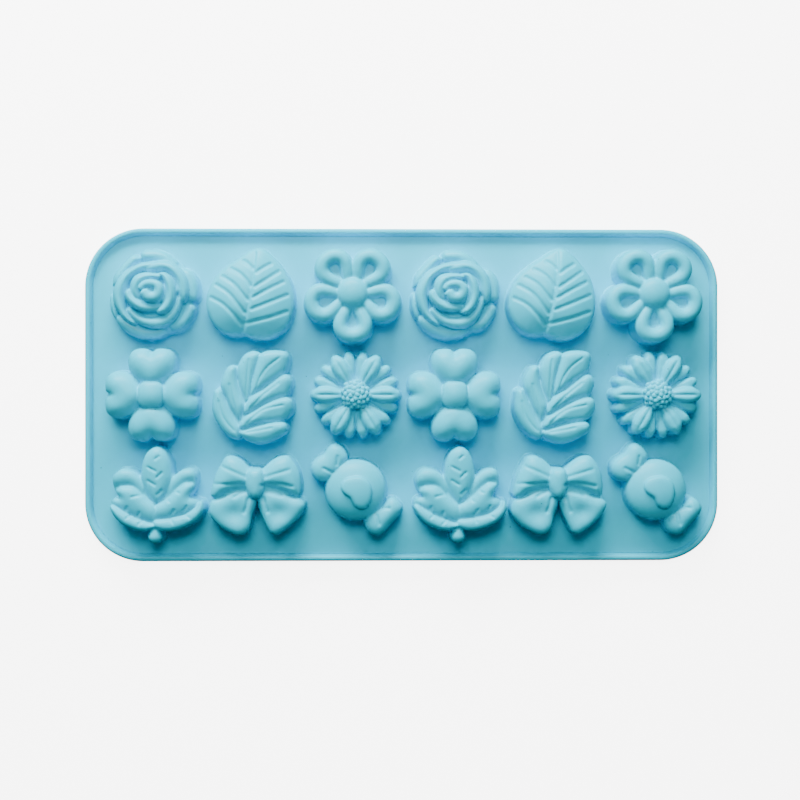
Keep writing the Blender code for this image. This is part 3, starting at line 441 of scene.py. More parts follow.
# A tier of lobes is its outline, its height and the line of its foot, if it runs on under the next one
maple = {
    "bulge": (5.0, 3.0, 0.8), "lowBulge": (3.0, 2.4, 0.5), "shoulder": 1.0, "soft": 0.3,
    "footDip": 2.6, "footReach": 3.6, "footBlur": 0.5, "tickWidth": 0.62, "tickSoft": 0.3, "bedTop": 14.6,
    "stalkRadius": [1.2, 2.3, 3.5], "stalkTop": [15.4, 16.2, 16.6], "stalkSoft": 0.4,
    "tiers": [
        ([(-6.8, 9), (-6.6, 13), (-5.8, 18), (-3.5, 22.6), (0.5, 24.8), (4.3, 22.8), (6.6, 18),
          (7.4, 13), (7.6, 9), (5.5, 2), (0.4, -5), (-5, 2)], 17.8,
         [(-8, 6), (-4, 1.2), (0.2, -2.6), (4.6, 0.4), (9, 5)]),
        ([(-6.5, 9.6), (-8.7, 12.2), (-11.2, 13.8), (-15.4, 14.4), (-18.6, 12.5), (-20, 9.3),
          (-19.2, 5.4), (-17.5, 2.5), (-12, 1), (-5, -1), (-4, 4)], 17.8,
         [(-17.5, 6), (-14.8, 6.6), (-10.6, 6.5), (-6.1, 2.8), (-1, -1.8)]),
        ([(6.5, 8.6), (8.8, 11.4), (12.2, 13.9), (15.8, 14.5), (18.2, 13), (18.9, 9.6), (17.8, 5),
          (15, 2), (8, -1), (3.5, -2), (4.2, 3)], 17.8,
         [(1, -2), (4.8, 0.5), (9.6, 5), (13.8, 8.2), (16.5, 8.4)]),
        ([(-15.4, 6.6), (-10.6, 6.4), (-8, 4.5), (-6.1, 2.6), (-3.2, 0), (0, -2.6), (1.5, -6),
          (1, -12.5), (-6, -12.5), (-12, -10.2), (-17, -7), (-20.4, -3.8), (-20.8, -1.6), (-20.2, 0),
          (-18.6, 1.1), (-16.8, 0.9), (-17.2, 1.9), (-18.3, 4.2), (-16.7, 6.1)], 18.3,
         [(-20.5, -2.6), (-17.6, -3.2), (-11.5, -6.9), (-6.1, -9.2), (-0.4, -11.1)]),
        ([(14.9, 8), (13.8, 8.1), (11.9, 6.7), (9.6, 4.8), (7, 1.9), (4.8, 0.3), (2.9, -1), (0, -2.6),
          (-1.5, -6), (-1, -12), (4, -12), (10, -11), (15, -9), (19, -6), (20.9, -3), (20.6, -1.4),
          (18.9, 0.3), (16.9, 0.8), (16, 1.6), (17.3, 4.8), (17.8, 7.4)], 18.3,
         [(-0.4, -9.7), (6.7, -8.5), (13.8, -6.6), (18.6, -3.7), (20.4, -1.6)]),
        ([(-18, -3.2), (-14.8, -5), (-11.5, -6.9), (-9, -8.2), (-6.1, -9.1), (-3.2, -10.3), (0.5, -11),
          (0.5, -12.8), (-3.2, -14.1), (-4.8, -14.6), (-9.6, -13.9), (-15.4, -11.2), (-19.2, -7.4),
          (-21, -3.5), (-20.2, -2.2)], 17.8, None),
        ([(-0.8, -9.4), (3.2, -8.7), (6.7, -8.3), (10.6, -7.5), (13.8, -6.6), (16.3, -5.1),
          (18.6, -3.5), (19.5, -2.6), (20.8, -0.3), (22.1, -1.6), (22.4, -4.8), (19.9, -9),
          (14.4, -12.5), (8, -14.4), (3.2, -14.4), (-0.4, -12.8), (-1, -10.9)], 17.8, None)],
    "ticks": [[(-3.2, 15.4), (0.3, 13.5)], [(1, 10.6), (3.2, 12.8)], [(-3.2, 9.1), (0, 7.1)],
              [(0.3, 19.2), (1.9, 20.4)], [(1, 2.6), (3.2, 4.8)], [(-10.7, 1.6), (-6.7, 2.4)],
              [(-13, -8.3), (-11.4, -6.7)], [(-7.5, -11.2), (-5.8, -9.3)], [(7, -8.7), (8.3, -10.3)],
              [(14.1, -7.1), (16, -8)], [(8.9, -4.5), (7.4, -6.4)], [(14.6, -2.7), (13.5, -4.5)],
              [(10, 3.8), (11.2, 3.4)], [(5.6, 0.2), (6.8, -0.6)], [(-12.8, -3), (-13, -4.2)],
              [(-7.2, -5.6), (-7.6, -6.8)]],
    "bed": [(-11, 7), (-4.5, 14), (5, 14), (11, 8.5), (13, 0), (8, -10), (3, -13), (-3, -13), (-8, -10),
            (-13, -1)],
    "stalk": [(0, -12), (-0.1, -14.2), (-0.3, -16.9)],
}


def mapleField(x, y, z):
    body = None
    surface = 0
    for outline, height, foot in maple["tiers"]:
        edge = outlineEdge(x, y, outline)
        if foot:  # the tier dips towards its foot, like a shingle
            away = alongPath(x, y, smoothPath(foot))[0]
            dip = blur(maple["footDip"] * np.exp(-away / maple["footReach"]), maple["footBlur"])
            top = height + swell(edge, *maple["bulge"]) - dip
        else:
            top = height + swell(edge, *maple["lowBulge"])
        body = melt(body, pad(z, edge, top, maple["shoulder"]), maple["soft"])
        surface = np.maximum(surface, np.where(edge < 0, top, 0))
    for tick in maple["ticks"]:
        cut = groove(x, y, z, np.array(tick), surface, maple["tickWidth"])
        body = carve(body, cut, maple["tickSoft"])
    body = np.minimum(body, bedding(x, y, z, maple["bed"], maple["bedTop"]))
    stalk = tube(x, y, z, smoothPath(maple["stalk"]), maple["stalkRadius"], maple["stalkTop"])
    return melt(body, stalk, maple["stalkSoft"])


# A wing is its outline and its pleats, and a tail its outline, the middle of its dish, a pleat and a hem
bow = {
    "soft": 0.3, "shoulder": 1.1, "bedTop": 15.0,
    "tailTop": 16.8, "tailBulge": (5.0, 2.8, 0.8), "dish": 1.5, "dishSize": (5.0, 4.2),
    "foldLift": 0.2, "foldWidth": 0.9, "foldSoft": 0.6,
    "wingTop": 18.6, "wingBulge": (8.0, 4.6, 1.2), "pleat": 0.6, "pleatHalf": 0.75,
    "knotTop": 20.1, "knotBulge": (4.8, 3.6, 0.6), "knotShoulder": 1.3,
    "tuck": 1.4, "tuckAt": (2.9, 1.0), "tuckSize": (1.0, 0.8),
    "knot": [(-3.6, 8.2), (-0.2, 9), (2.5, 8.2), (3.6, 5.4), (3.9, 2), (3.1, -2), (1.6, -4.8),
             (-0.2, -5.4), (-2.4, -4.8), (-4, -2.9), (-5.2, 0.8), (-5, 4.5)],
    "wings": [
        ([(-2.4, 9.1), (-3.3, 8.8), (-5.8, 11.6), (-8.9, 13.7), (-12, 14.7), (-14.8, 13.8),
          (-16.9, 10.4), (-19.7, 4.8), (-21.5, -2.3), (-21.2, -4.2), (-19.7, -5.1), (-17.5, -4.8),
          (-14.4, -2.9), (-11.4, -1.7), (-8.3, -1.1), (-5.2, -0.5), (-1.5, 1.5)],
         [[(-16, 9.7), (-5.2, 5.1), (-3, 4.2)], [(-19.8, 1.6), (-12, 1.55), (-5, 1.6), (-3, 1.6)]]),
        ([(1.5, 7.6), (2.5, 8.3), (4.8, 10.7), (8.5, 13.5), (12, 14.6), (15.2, 14), (18.9, 8.8),
          (20.3, 3.5), (20.4, -1.7), (19.5, -4.5), (17, -4.2), (14.9, -3.2), (11.7, -2), (8.7, -1.1),
          (3.8, -0.1), (1, 1.5)], [[(15.2, 8.2), (9, 6.4), (3.8, 4.8), (2.2, 4.2)],
                                   [(16.6, 0.5), (12, 1.5), (7, 1.7), (3, 1.5)],
                                   [(14, -2.6), (9, -0.4), (3.8, 0.3)]])],
    "tails": [
        ([(-19.7, -5.5), (-16, -4.2), (-13.5, -2.9), (-9.8, -1.4), (-5.8, -1.1), (-2, -3), (-1.5, -5.1),
          (-0.4, -6.9), (-0.9, -10), (-2.1, -13.1), (-3, -17.7), (-4, -19.9), (-5.8, -21.8),
          (-8.6, -22.5), (-11.4, -21.7), (-13.8, -20.5), (-18.1, -17.7), (-21.9, -13.1), (-22.3, -9.4),
          (-21.2, -6.3)], (-10, -12.4), [(-10.4, -4.5), (-5.6, -1.5)],
         [(-3.9, -5.2), (-4.6, -8.5), (-5.7, -11.7)]),
        ([(0.4, -7.6), (1.9, -4.8), (2.8, -2.5), (5, -1), (9, -1.6), (13, -3.2), (17, -4.6),
          (19.5, -5.1), (21.9, -6.9), (22.2, -9.4), (19.5, -14), (14.9, -18.4), (11.5, -21),
          (8.7, -22.4), (6.2, -21.2), (5, -19.2), (3.5, -16.2), (1.5, -11.6)], (10.5, -12),
         [(11.3, -3.9), (4.6, -2)], [(3, -5), (4, -8.2), (5.1, -11.4)])],
    "bed": [(-15, 7), (-3, 6), (3, 6), (14, 7), (16, -3), (8, -10), (3, -7.5), (-0.2, -6.2), (-3, -7.5),
            (-8, -10), (-16, -3)],
}


def bowField(x, y, z):
    body = None
    for outline, dish, pleat, hem in bow["tails"]:
        edge = outlineEdge(x, y, outline)
        hollow = bow["dish"] * dimple(x, y, dish, bow["dishSize"])
        top = bow["tailTop"] + swell(edge, *bow["tailBulge"]) - hollow
        tail = pad(z, edge, top, bow["shoulder"])
        for fold in (pleat, hem):
            cut = groove(x, y, z, smoothPath(fold), top + bow["foldLift"], bow["foldWidth"])
            tail = carve(tail, cut, bow["foldSoft"])
        body = melt(body, tail, bow["soft"])
    for outline, pleats in bow["wings"]:
        edge = outlineEdge(x, y, outline)
        top = bow["wingTop"] + swell(edge, *bow["wingBulge"])
        for pleat in pleats:
            away = alongPath(x, y, smoothPath(pleat))[0]
            top = top - bow["pleat"] * np.exp(-(away / bow["pleatHalf"]) ** 2)
        body = melt(body, pad(z, edge, top, bow["shoulder"]), bow["soft"])
    body = np.minimum(body, bedding(x, y, z, bow["bed"], bow["bedTop"]))
    edge = outlineEdge(x, y, bow["knot"])
    tuck = bow["tuck"] * dimple(x, y, bow["tuckAt"], bow["tuckSize"])
    top = bow["knotTop"] + swell(edge, *bow["knotBulge"]) - tuck
    return melt(body, pad(z, edge, top, bow["knotShoulder"]), bow["soft"])


# An ear of the wrapper is its outline and its creases
sweet = {
    "aside": 0.6, "earTop": 15.2, "earBulge": (5.6, 3.6, 0.7), "earShoulder": 1.1,
    "creaseHalf": 0.6, "crease": 0.7,
    "ball": 14.3, "ballFrom": 9.4, "ballRise": 8.9, "ballCurve": 15.2, "ballShoulder": 1.2, "ballSoft": 0.3,
    "heartRise": 1.9, "heartBulge": (2.0, 0.7, 0.4), "heartShoulder": 0.6, "heartSoft": 0.2,
    "ears": [
        ([(-4, 14.6), (-4.4, 17.6), (-6.4, 20.4), (-9, 21.8), (-11.2, 21.5), (-13.4, 19.4), (-15, 17),
          (-17.8, 15.3), (-20.2, 13), (-21, 10.4), (-20.4, 7.4), (-18.4, 5), (-15.6, 3.8), (-12.6, 4.6),
          (-7.6, 8.6)], [[(-8.5, 15.8), (-8.8, 12.2)], [(-15, 10.3), (-10.4, 8.2)]]),
        ([(6.4, -11), (12.6, -7.4), (14.6, -4.6), (16.9, -3.5), (19.4, -4.6), (21.2, -6.8),
          (21.6, -9.2), (20, -12.4), (17.4, -14.9), (15.4, -17), (13.4, -19.6), (10.8, -21.2),
          (8, -20.9), (5.4, -19), (4.2, -16.6), (4, -14.8)],
         [[(12.4, -8.2), (15.6, -8.4)], [(9.7, -11.5), (10.9, -15.8)]])],
    "heart": [(-6.8, 1.5), (-6.2, 4), (-4.1, 5.8), (-1.1, 6.6), (1.9, 6.7), (4.9, 5.4), (6.8, 3),
              (7.5, 0), (7.3, -3.2), (6.3, -6.4), (4.2, -8.3), (1.8, -8.4), (-0.5, -7), (-1.6, -4.8),
              (-2.4, -3.1), (-4, -2.1), (-5.8, -0.7)],
}


def sweetField(x, y, z):
    x = x - sweet["aside"]
    rho = np.hypot(x, y)
    wrapper = []
    for outline, creases in sweet["ears"]:
        edge = outlineEdge(x, y, outline)
        top = sweet["earTop"] + swell(edge, *sweet["earBulge"])
        for crease in creases:
            top = press(top, alongPath(x, y, np.array(crease))[0], sweet["creaseHalf"], sweet["crease"])
        wrapper.append(pad(z, edge, top, sweet["earShoulder"]))
    out = np.clip(rho / sweet["ballCurve"], 0, 0.99)
    crown = sweet["ballFrom"] + sweet["ballRise"] * np.sqrt(1 - out ** 2)
    ball = pad(z, rho - sweet["ball"], crown, sweet["ballShoulder"])
    body = melt(np.minimum(*wrapper), ball, sweet["ballSoft"])
    edge = outlineEdge(x, y, sweet["heart"])
    top = crown + sweet["heartRise"] + swell(edge, *sweet["heartBulge"])
    return melt(body, pad(z, edge, top, sweet["heartShoulder"]), sweet["heartSoft"])


motifs = dict(rose=roseField, leaf=leafField, flower=flowerField, clover=cloverField, frond=frondField,
              daisy=daisyField, maple=mapleField, bow=bowField, sweet=sweetField)


def depthBelow(body, deepest):
    reach = int(math.ceil(deepest / cup["cell"])) + 2
    square = np.where(body > 0, 0.0, (reach * cup["cell"]) ** 2)
    for axis in range(3):
        wide = np.pad(square, [(reach, reach) if a == axis else (0, 0) for a in range(3)], mode="edge")
        part = [slice(None)] * 3
        best = square
        for shift in range(2 * reach + 1):
            part[axis] = slice(shift, shift + square.shape[axis])
            best = np.minimum(best, wide[tuple(part)] + ((shift - reach) * cup["cell"]) ** 2)
        square = best
    return np.sqrt(square) - cup["cell"] / 2


def crossings(values):
    # One point in each cell that the zero level crosses, and one quad across each crossed grid line,
    # or in the plane one edge
    size = values.ndim
    count = np.array(values.shape) - 1
    steps = np.cumprod([1, *count[:0:-1]])[::-1]
    around = ((0, 0), (1, 0), (1, 1), (0, 1)) if size == 3 else ((0,), (1,))
    total = np.zeros((count.prod(), size))
    hits = np.zeros(count.prod())
    rings = []
    for axis in range(size):
        near = [slice(None)] * size
        far = [slice(None)] * size
        near[axis], far[axis] = slice(0, -1), slice(1, None)
        a, b = values[tuple(near)], values[tuple(far)]
        others = [(axis + k) % size for k in range(1, size)]
        spots = np.argwhere((a < 0) != (b < 0))
        spots = spots[np.all((spots[:, others] > 0) & (spots[:, others] < count[others]), axis=1)]
        va, vb = a[tuple(spots.T)], b[tuple(spots.T)]
        points = spots.astype(float)
        points[:, axis] += va / (va - vb)
        ring = []
        for back in around:
            cells = spots.copy()
            cells[:, others] -= np.array(back)
            flat = cells @ steps
            hits += np.bincount(flat, minlength=len(hits))
            for c in range(size):
                total[:, c] += np.bincount(flat, points[:, c], len(hits))
            ring.append(flat)
        ring = np.stack(ring, axis=1)
        rings.append(np.where((va < 0)[:, None], ring, ring[:, ::-1]) if size == 3 else ring)
    used = np.flatnonzero(hits)
    order = np.zeros(len(hits), int)
    order[used] = np.arange(len(used))
    return total[used] / hits[used, None] * cup["cell"], order[np.vstack(rings)]


def sculptCup(name):
    reach, below = cup["reach"], cup["rowsBelow"]
    axis = np.arange(-reach, reach + 0.01, cup["cell"])
    heights = np.arange(-below * cup["cell"], cup["tallest"], cup["cell"])
    x, y, z = axis[:, None, None], axis[None, :, None], heights[None, None, :]
    body = blur(motifs[name](x, y, z), cup["soften"])
    floor = body[:, :, below:below + 1]  # the outline at the mouth
    dip = cup["tuck"] * np.clip((floor - cup["seam"]) / (cup["skirt"] - cup["seam"]), 0, 1) ** 2
    plate = np.maximum(z - cup["web"] + dip, floor - cup["skirt"])
    shell = melt(body, plate, cup["fillet"])
    depth = blur(depthBelow(body, cup["wall"] + cup["wallSpare"]), cup["wallBlur"])
    shell = carve(shell, cup["wall"] - depth, cup["wallRound"])
    shell = carve(shell, z - dip, cup["lipRound"])
    verts, quads = crossings(shell)
    return verts + np.array([-reach, -reach, heights[0]]), quads, floor[:, :, 0]


def linearColour(code):
    parts = [int(code[i:i + 2], 16) / 255 for i in (1, 3, 5)]
    return tuple(p / 12.92 if p <= 0.04045 else ((p + 0.055) / 1.055) ** 2.4 for p in parts) + (1.0,)


def addNode(tree, kind, settings=None, links=None):
    node = tree.nodes.new(kind)
    for key, value in (settings or {}).items():
        if isinstance(key, str) and hasattr(node, key):
            setattr(node, key, value)
        else:
            node.inputs[key].default_value = value
    for key, sources in (links or {}).items():
        for source in sources if isinstance(sources, list) else [sources]:
            # A node stands for its first output
            tree.links.new(getattr(source, "outputs", [source])[0], node.inputs[key])
    return node


# Cloud, satin, grain and speck are spacings in millimetres
silicone = {
    "tone": "#00d4ef", "cloudTone": "#0accea", "speckTone": "#056a86", "cloud": 15.0, "satin": 6.0,
    "grain": 0.9, "grainDepth": 0.0001, "grainStrength": 0.12, "speck": 12.0, "speckShare": 0.02,
    "speckFade": 1.5, "speckWeight": 0.7, "roughness": (0.36, 0.46), "specular": 0.3, "ior": 1.41,
    "milk": 0.05, "milkRadius": (0.3, 1.0, 0.9), "milkScale": 0.001,
}


def mouldedSilicone():
    # Compression-moulded silicone: a satin skin off the blasted tool, faintly clouded where the
    # pigment flowed, milky in thin walls, with a stray speck of dust pressed in
    material = bpy.data.materials.new("compressionMouldedSilicone")
    material.use_nodes = True
    tree = material.node_tree
    shader = tree.nodes["Principled BSDF"].inputs
    place = addNode(tree, "ShaderNodeTexCoord").outputs["Object"]
    cloud = addNode(tree, "ShaderNodeTexNoise", {"Scale": 1000 / silicone["cloud"], "Detail": 4.0},
                    {"Vector": place})
    tint = addNode(tree, "ShaderNodeMix", {"data_type": "RGBA", 6: linearColour(silicone["tone"]),
                                           7: linearColour(silicone["cloudTone"])}, {0: cloud})
    speck = addNode(tree, "ShaderNodeTexVoronoi", {"Scale": 1000 / silicone["speck"]}, {"Vector": place})
    share = silicone["speckShare"]
    spot = addNode(tree, "ShaderNodeMapRange",
                   {"From Min": share, "From Max": share * silicone["speckFade"],
                    "To Min": silicone["speckWeight"], "To Max": 0.0}, {"Value": speck.outputs["Distance"]})
    dusty = addNode(tree, "ShaderNodeMix", {"data_type": "RGBA", 7: linearColour(silicone["speckTone"])},
                    {0: spot, 6: tint.outputs[2]})
    satin = addNode(tree, "ShaderNodeTexNoise", {"Scale": 1000 / silicone["satin"], "Detail": 3.0},
                    {"Vector": place})
    low, high = silicone["roughness"]
    gloss = addNode(tree, "ShaderNodeMapRange",
                    {"From Min": 0.3, "From Max": 0.7, "To Min": low, "To Max": high}, {"Value": satin})
    # The blasted grain is really about 0.1 mm, drawn coarser so that it shows at all
    grain = addNode(tree, "ShaderNodeTexNoise", {"Scale": 1000 / silicone["grain"], "Detail": 2.0},
                    {"Vector": place})
    bump = addNode(tree, "ShaderNodeBump",
                   {"Strength": silicone["grainStrength"], "Distance": silicone["grainDepth"]},
                   {"Height": grain})
    tree.links.new(dusty.outputs[2], shader["Base Color"])
    tree.links.new(gloss.outputs[0], shader["Roughness"])
    tree.links.new(bump.outputs[0], shader["Normal"])
    shader["Specular IOR Level"].default_value = silicone["specular"]
    shader["IOR"].default_value = silicone["ior"]
    shader["Subsurface Weight"].default_value = silicone["milk"]
    shader["Subsurface Radius"].default_value = silicone["milkRadius"]
    shader["Subsurface Scale"].default_value = silicone["milkScale"]
    return material


def meshFrom(name, verts, quads, material):
    mesh = bpy.data.meshes.new(name)
    mesh.from_pydata((verts * 0.001).tolist(), [], quads.tolist())
    mesh.materials.append(material)
    mesh.shade_smooth()
    return mesh


def openTree(name, source, inputs, result):
    tree = bpy.data.node_groups.new(name, "GeometryNodeTree")
    sockets = {}
    for label, kind in [(source, "Geometry")] + inputs:
        socket = tree.interface.new_socket(label, in_out="INPUT", socket_type="NodeSocket" + kind)
        sockets[label] = socket.identifier
    tree.interface.new_socket(result, in_out="OUTPUT", socket_type="NodeSocketGeometry")
    return tree, sockets, addNode(tree, "NodeGroupInput").outputs


def closeTree(tree, pieces, material):
    whole = addNode(tree, "GeometryNodeJoinGeometry", {}, {0: pieces})
    real = addNode(tree, "GeometryNodeRealizeInstances", {}, {0: whole})
    painted = addNode(tree, "GeometryNodeSetMaterial", {}, {"Geometry": real, "Material": material})
    addNode(tree, "NodeGroupOutput", {}, {0: painted})


def bakeNodes(name, base, tree, sockets, values):
    source = bpy.data.objects.new(name, base)
    bpy.context.scene.collection.objects.link(source)
    nodes = source.modifiers.new(name, "NODES")
    nodes.node_group = tree
    for label, value in values.items():
        nodes[sockets[label]] = value
    made = bpy.data.meshes.new_from_object(source.evaluated_get(bpy.context.evaluated_depsgraph_get()))
    source.modifiers.remove(nodes)
    bpy.data.objects.remove(source, do_unlink=True)
    piece = bpy.data.objects.new(name, made)
    bpy.context.scene.collection.objects.link(piece)
    return piece


# In metres, as the tree's inputs are
florets = {"count": 36, "spread": 0.00108, "radius": 0.00132, "squash": 0.56, "dome": 0.0069, "rise": 0.0058,
           "top": 0.0193}


def floretTree():
    tree, sockets, given = openTree("floretsOnTheDaisy", "cup", [
        ("count", "Int"), ("spread", "Float"), ("radius", "Float"), ("squash", "Float"), ("dome", "Float"),
        ("rise", "Float"), ("top", "Float"), ("middle", "Vector"), ("silicone", "Material")], "daisy")
    maths = "ShaderNodeMath"
    # Each floret turns on by the golden angle and steps out with the square root of its number
    index = addNode(tree, "GeometryNodeInputIndex")
    turn = addNode(tree, maths, {"operation": "MULTIPLY", 1: math.radians(137.508)}, {0: index})
    half = addNode(tree, maths, {"operation": "ADD", 1: 0.5}, {0: index})
    root = addNode(tree, maths, {"operation": "SQRT"}, {0: half})
    out = addNode(tree, maths, {"operation": "MULTIPLY"}, {0: root, 1: given["spread"]})
    cosine = addNode(tree, maths, {"operation": "COSINE"}, {0: turn})
    sine = addNode(tree, maths, {"operation": "SINE"}, {0: turn})
    placeX = addNode(tree, maths, {"operation": "MULTIPLY"}, {0: out, 1: cosine})
    placeY = addNode(tree, maths, {"operation": "MULTIPLY"}, {0: out, 1: sine})
    # It stands on the dome, lower the further out it is
    share = addNode(tree, maths, {"operation": "DIVIDE"}, {0: out, 1: given["dome"]})
    square = addNode(tree, maths, {"operation": "MULTIPLY"}, {0: share, 1: share})
    rest = addNode(tree, maths, {"operation": "SUBTRACT", 0: 1.0}, {1: square})
    level = addNode(tree, maths, {"operation": "SQRT"}, {0: rest})
    sink = addNode(tree, maths, {"operation": "MULTIPLY_ADD"}, {0: level, 1: given["rise"], 2: given["top"]})
    placeZ = addNode(tree, maths, {"operation": "SUBTRACT"}, {0: sink, 1: given["rise"]})
    spot = addNode(tree, "ShaderNodeCombineXYZ", {}, {"X": placeX, "Y": placeY, "Z": placeZ})
    moved = addNode(tree, "ShaderNodeVectorMath", {"operation": "ADD"}, {0: spot, 1: given["middle"]})
    dots = addNode(tree, "GeometryNodePoints", {}, {"Count": given["count"], "Position": moved})
    ball = addNode(tree, "GeometryNodeMeshIcoSphere", {"Subdivisions": 2}, {"Radius": given["radius"]})
    soft = addNode(tree, "GeometryNodeSetShadeSmooth", {"Shade Smooth": True}, {0: ball})
    flat = addNode(tree, "ShaderNodeCombineXYZ", {"X": 1.0, "Y": 1.0}, {"Z": given["squash"]})
    placed = addNode(tree, "GeometryNodeInstanceOnPoints", {},
                     {"Points": dots, "Instance": soft, "Scale": flat})
    closeTree(tree, [given["cup"], placed], given["silicone"])
    return tree, sockets


# Where the cups stand, in millimetres: the same three columns twice, each motif moved by its seat
layout = {
    "rows": [["rose", "leaf", "flower"], ["clover", "frond", "daisy"], ["maple", "bow", "sweet"]],
    "column": 47.03, "row": 46.42,
    "seats": {"rose": (1.3, 0.0), "leaf": (0.0, 0.2), "flower": (-0.8, 1.0), "clover": (0.5, 0.0),
              "frond": (0.2, -4.2), "daisy": (0.8, 0.0), "maple": (2.4, -2.5), "bow": (2.4, 3.4),
              "sweet": (0.8, 1.8)},
}

skinMaterial = mouldedSilicone()
print("material", skinMaterial.name)
seedTree, seedSockets = floretTree()
mouths = []
for name in motifs:
    verts, quads, floor = sculptCup(name)
    outline, links = crossings(floor - cup["seam"])
    outline = outline - cup["reach"]
    edge = crossings(floor)[0]
    line = next(k for k, row in enumerate(layout["rows"]) if name in row)
    rank = layout["rows"][line].index(name)
    seatX, seatY = layout["seats"][name]
    for side in ("left", "right"):
        node = name + "_cup_" + side
        low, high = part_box(node)
        column = rank + (3 if side == "right" else 0)
        shift = np.array([(column - 2.5) * layout["column"] + seatX, (1 - line) * layout["row"] + seatY, 0.0])
        mesh = meshFrom(name + "Cup" + side.title(), verts + shift, quads, skinMaterial)
        if name == "daisy":
            middle = (shift + (daisy["aside"], 0.0, 0.0)) * 0.001
            piece = bakeNodes(mesh.name, mesh, seedTree, seedSockets,
                              {**florets, "middle": tuple(middle), "silicone": skinMaterial})
        else:
            piece = bpy.data.objects.new(mesh.name, mesh)
            bpy.context.scene.collection.objects.link(piece)
        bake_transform(piece)
        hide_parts(node)
        mouths.append((outline + shift[:2], links))
    span = edge.max(axis=0) - edge.min(axis=0)
    cadSpan = [round((high.x - low.x) * 1000, 1), round((high.y - low.y) * 1000, 1)]
    print("cup", name, len(quads) * 2, "triangles, outline", np.round(span, 1), "CAD", cadSpan,
          "top", round(verts[:, 2].max(), 2), "CAD", round(high.z * 1000, 2))

# In metres; the rim's height and the sheet's outline come from the frame
sheet = {"web": 0.002, "rimWidth": 0.0039, "crest": 0.0024, "crestRound": 0.0013, "corner": 0.0275,
         "foot": 0.0004}


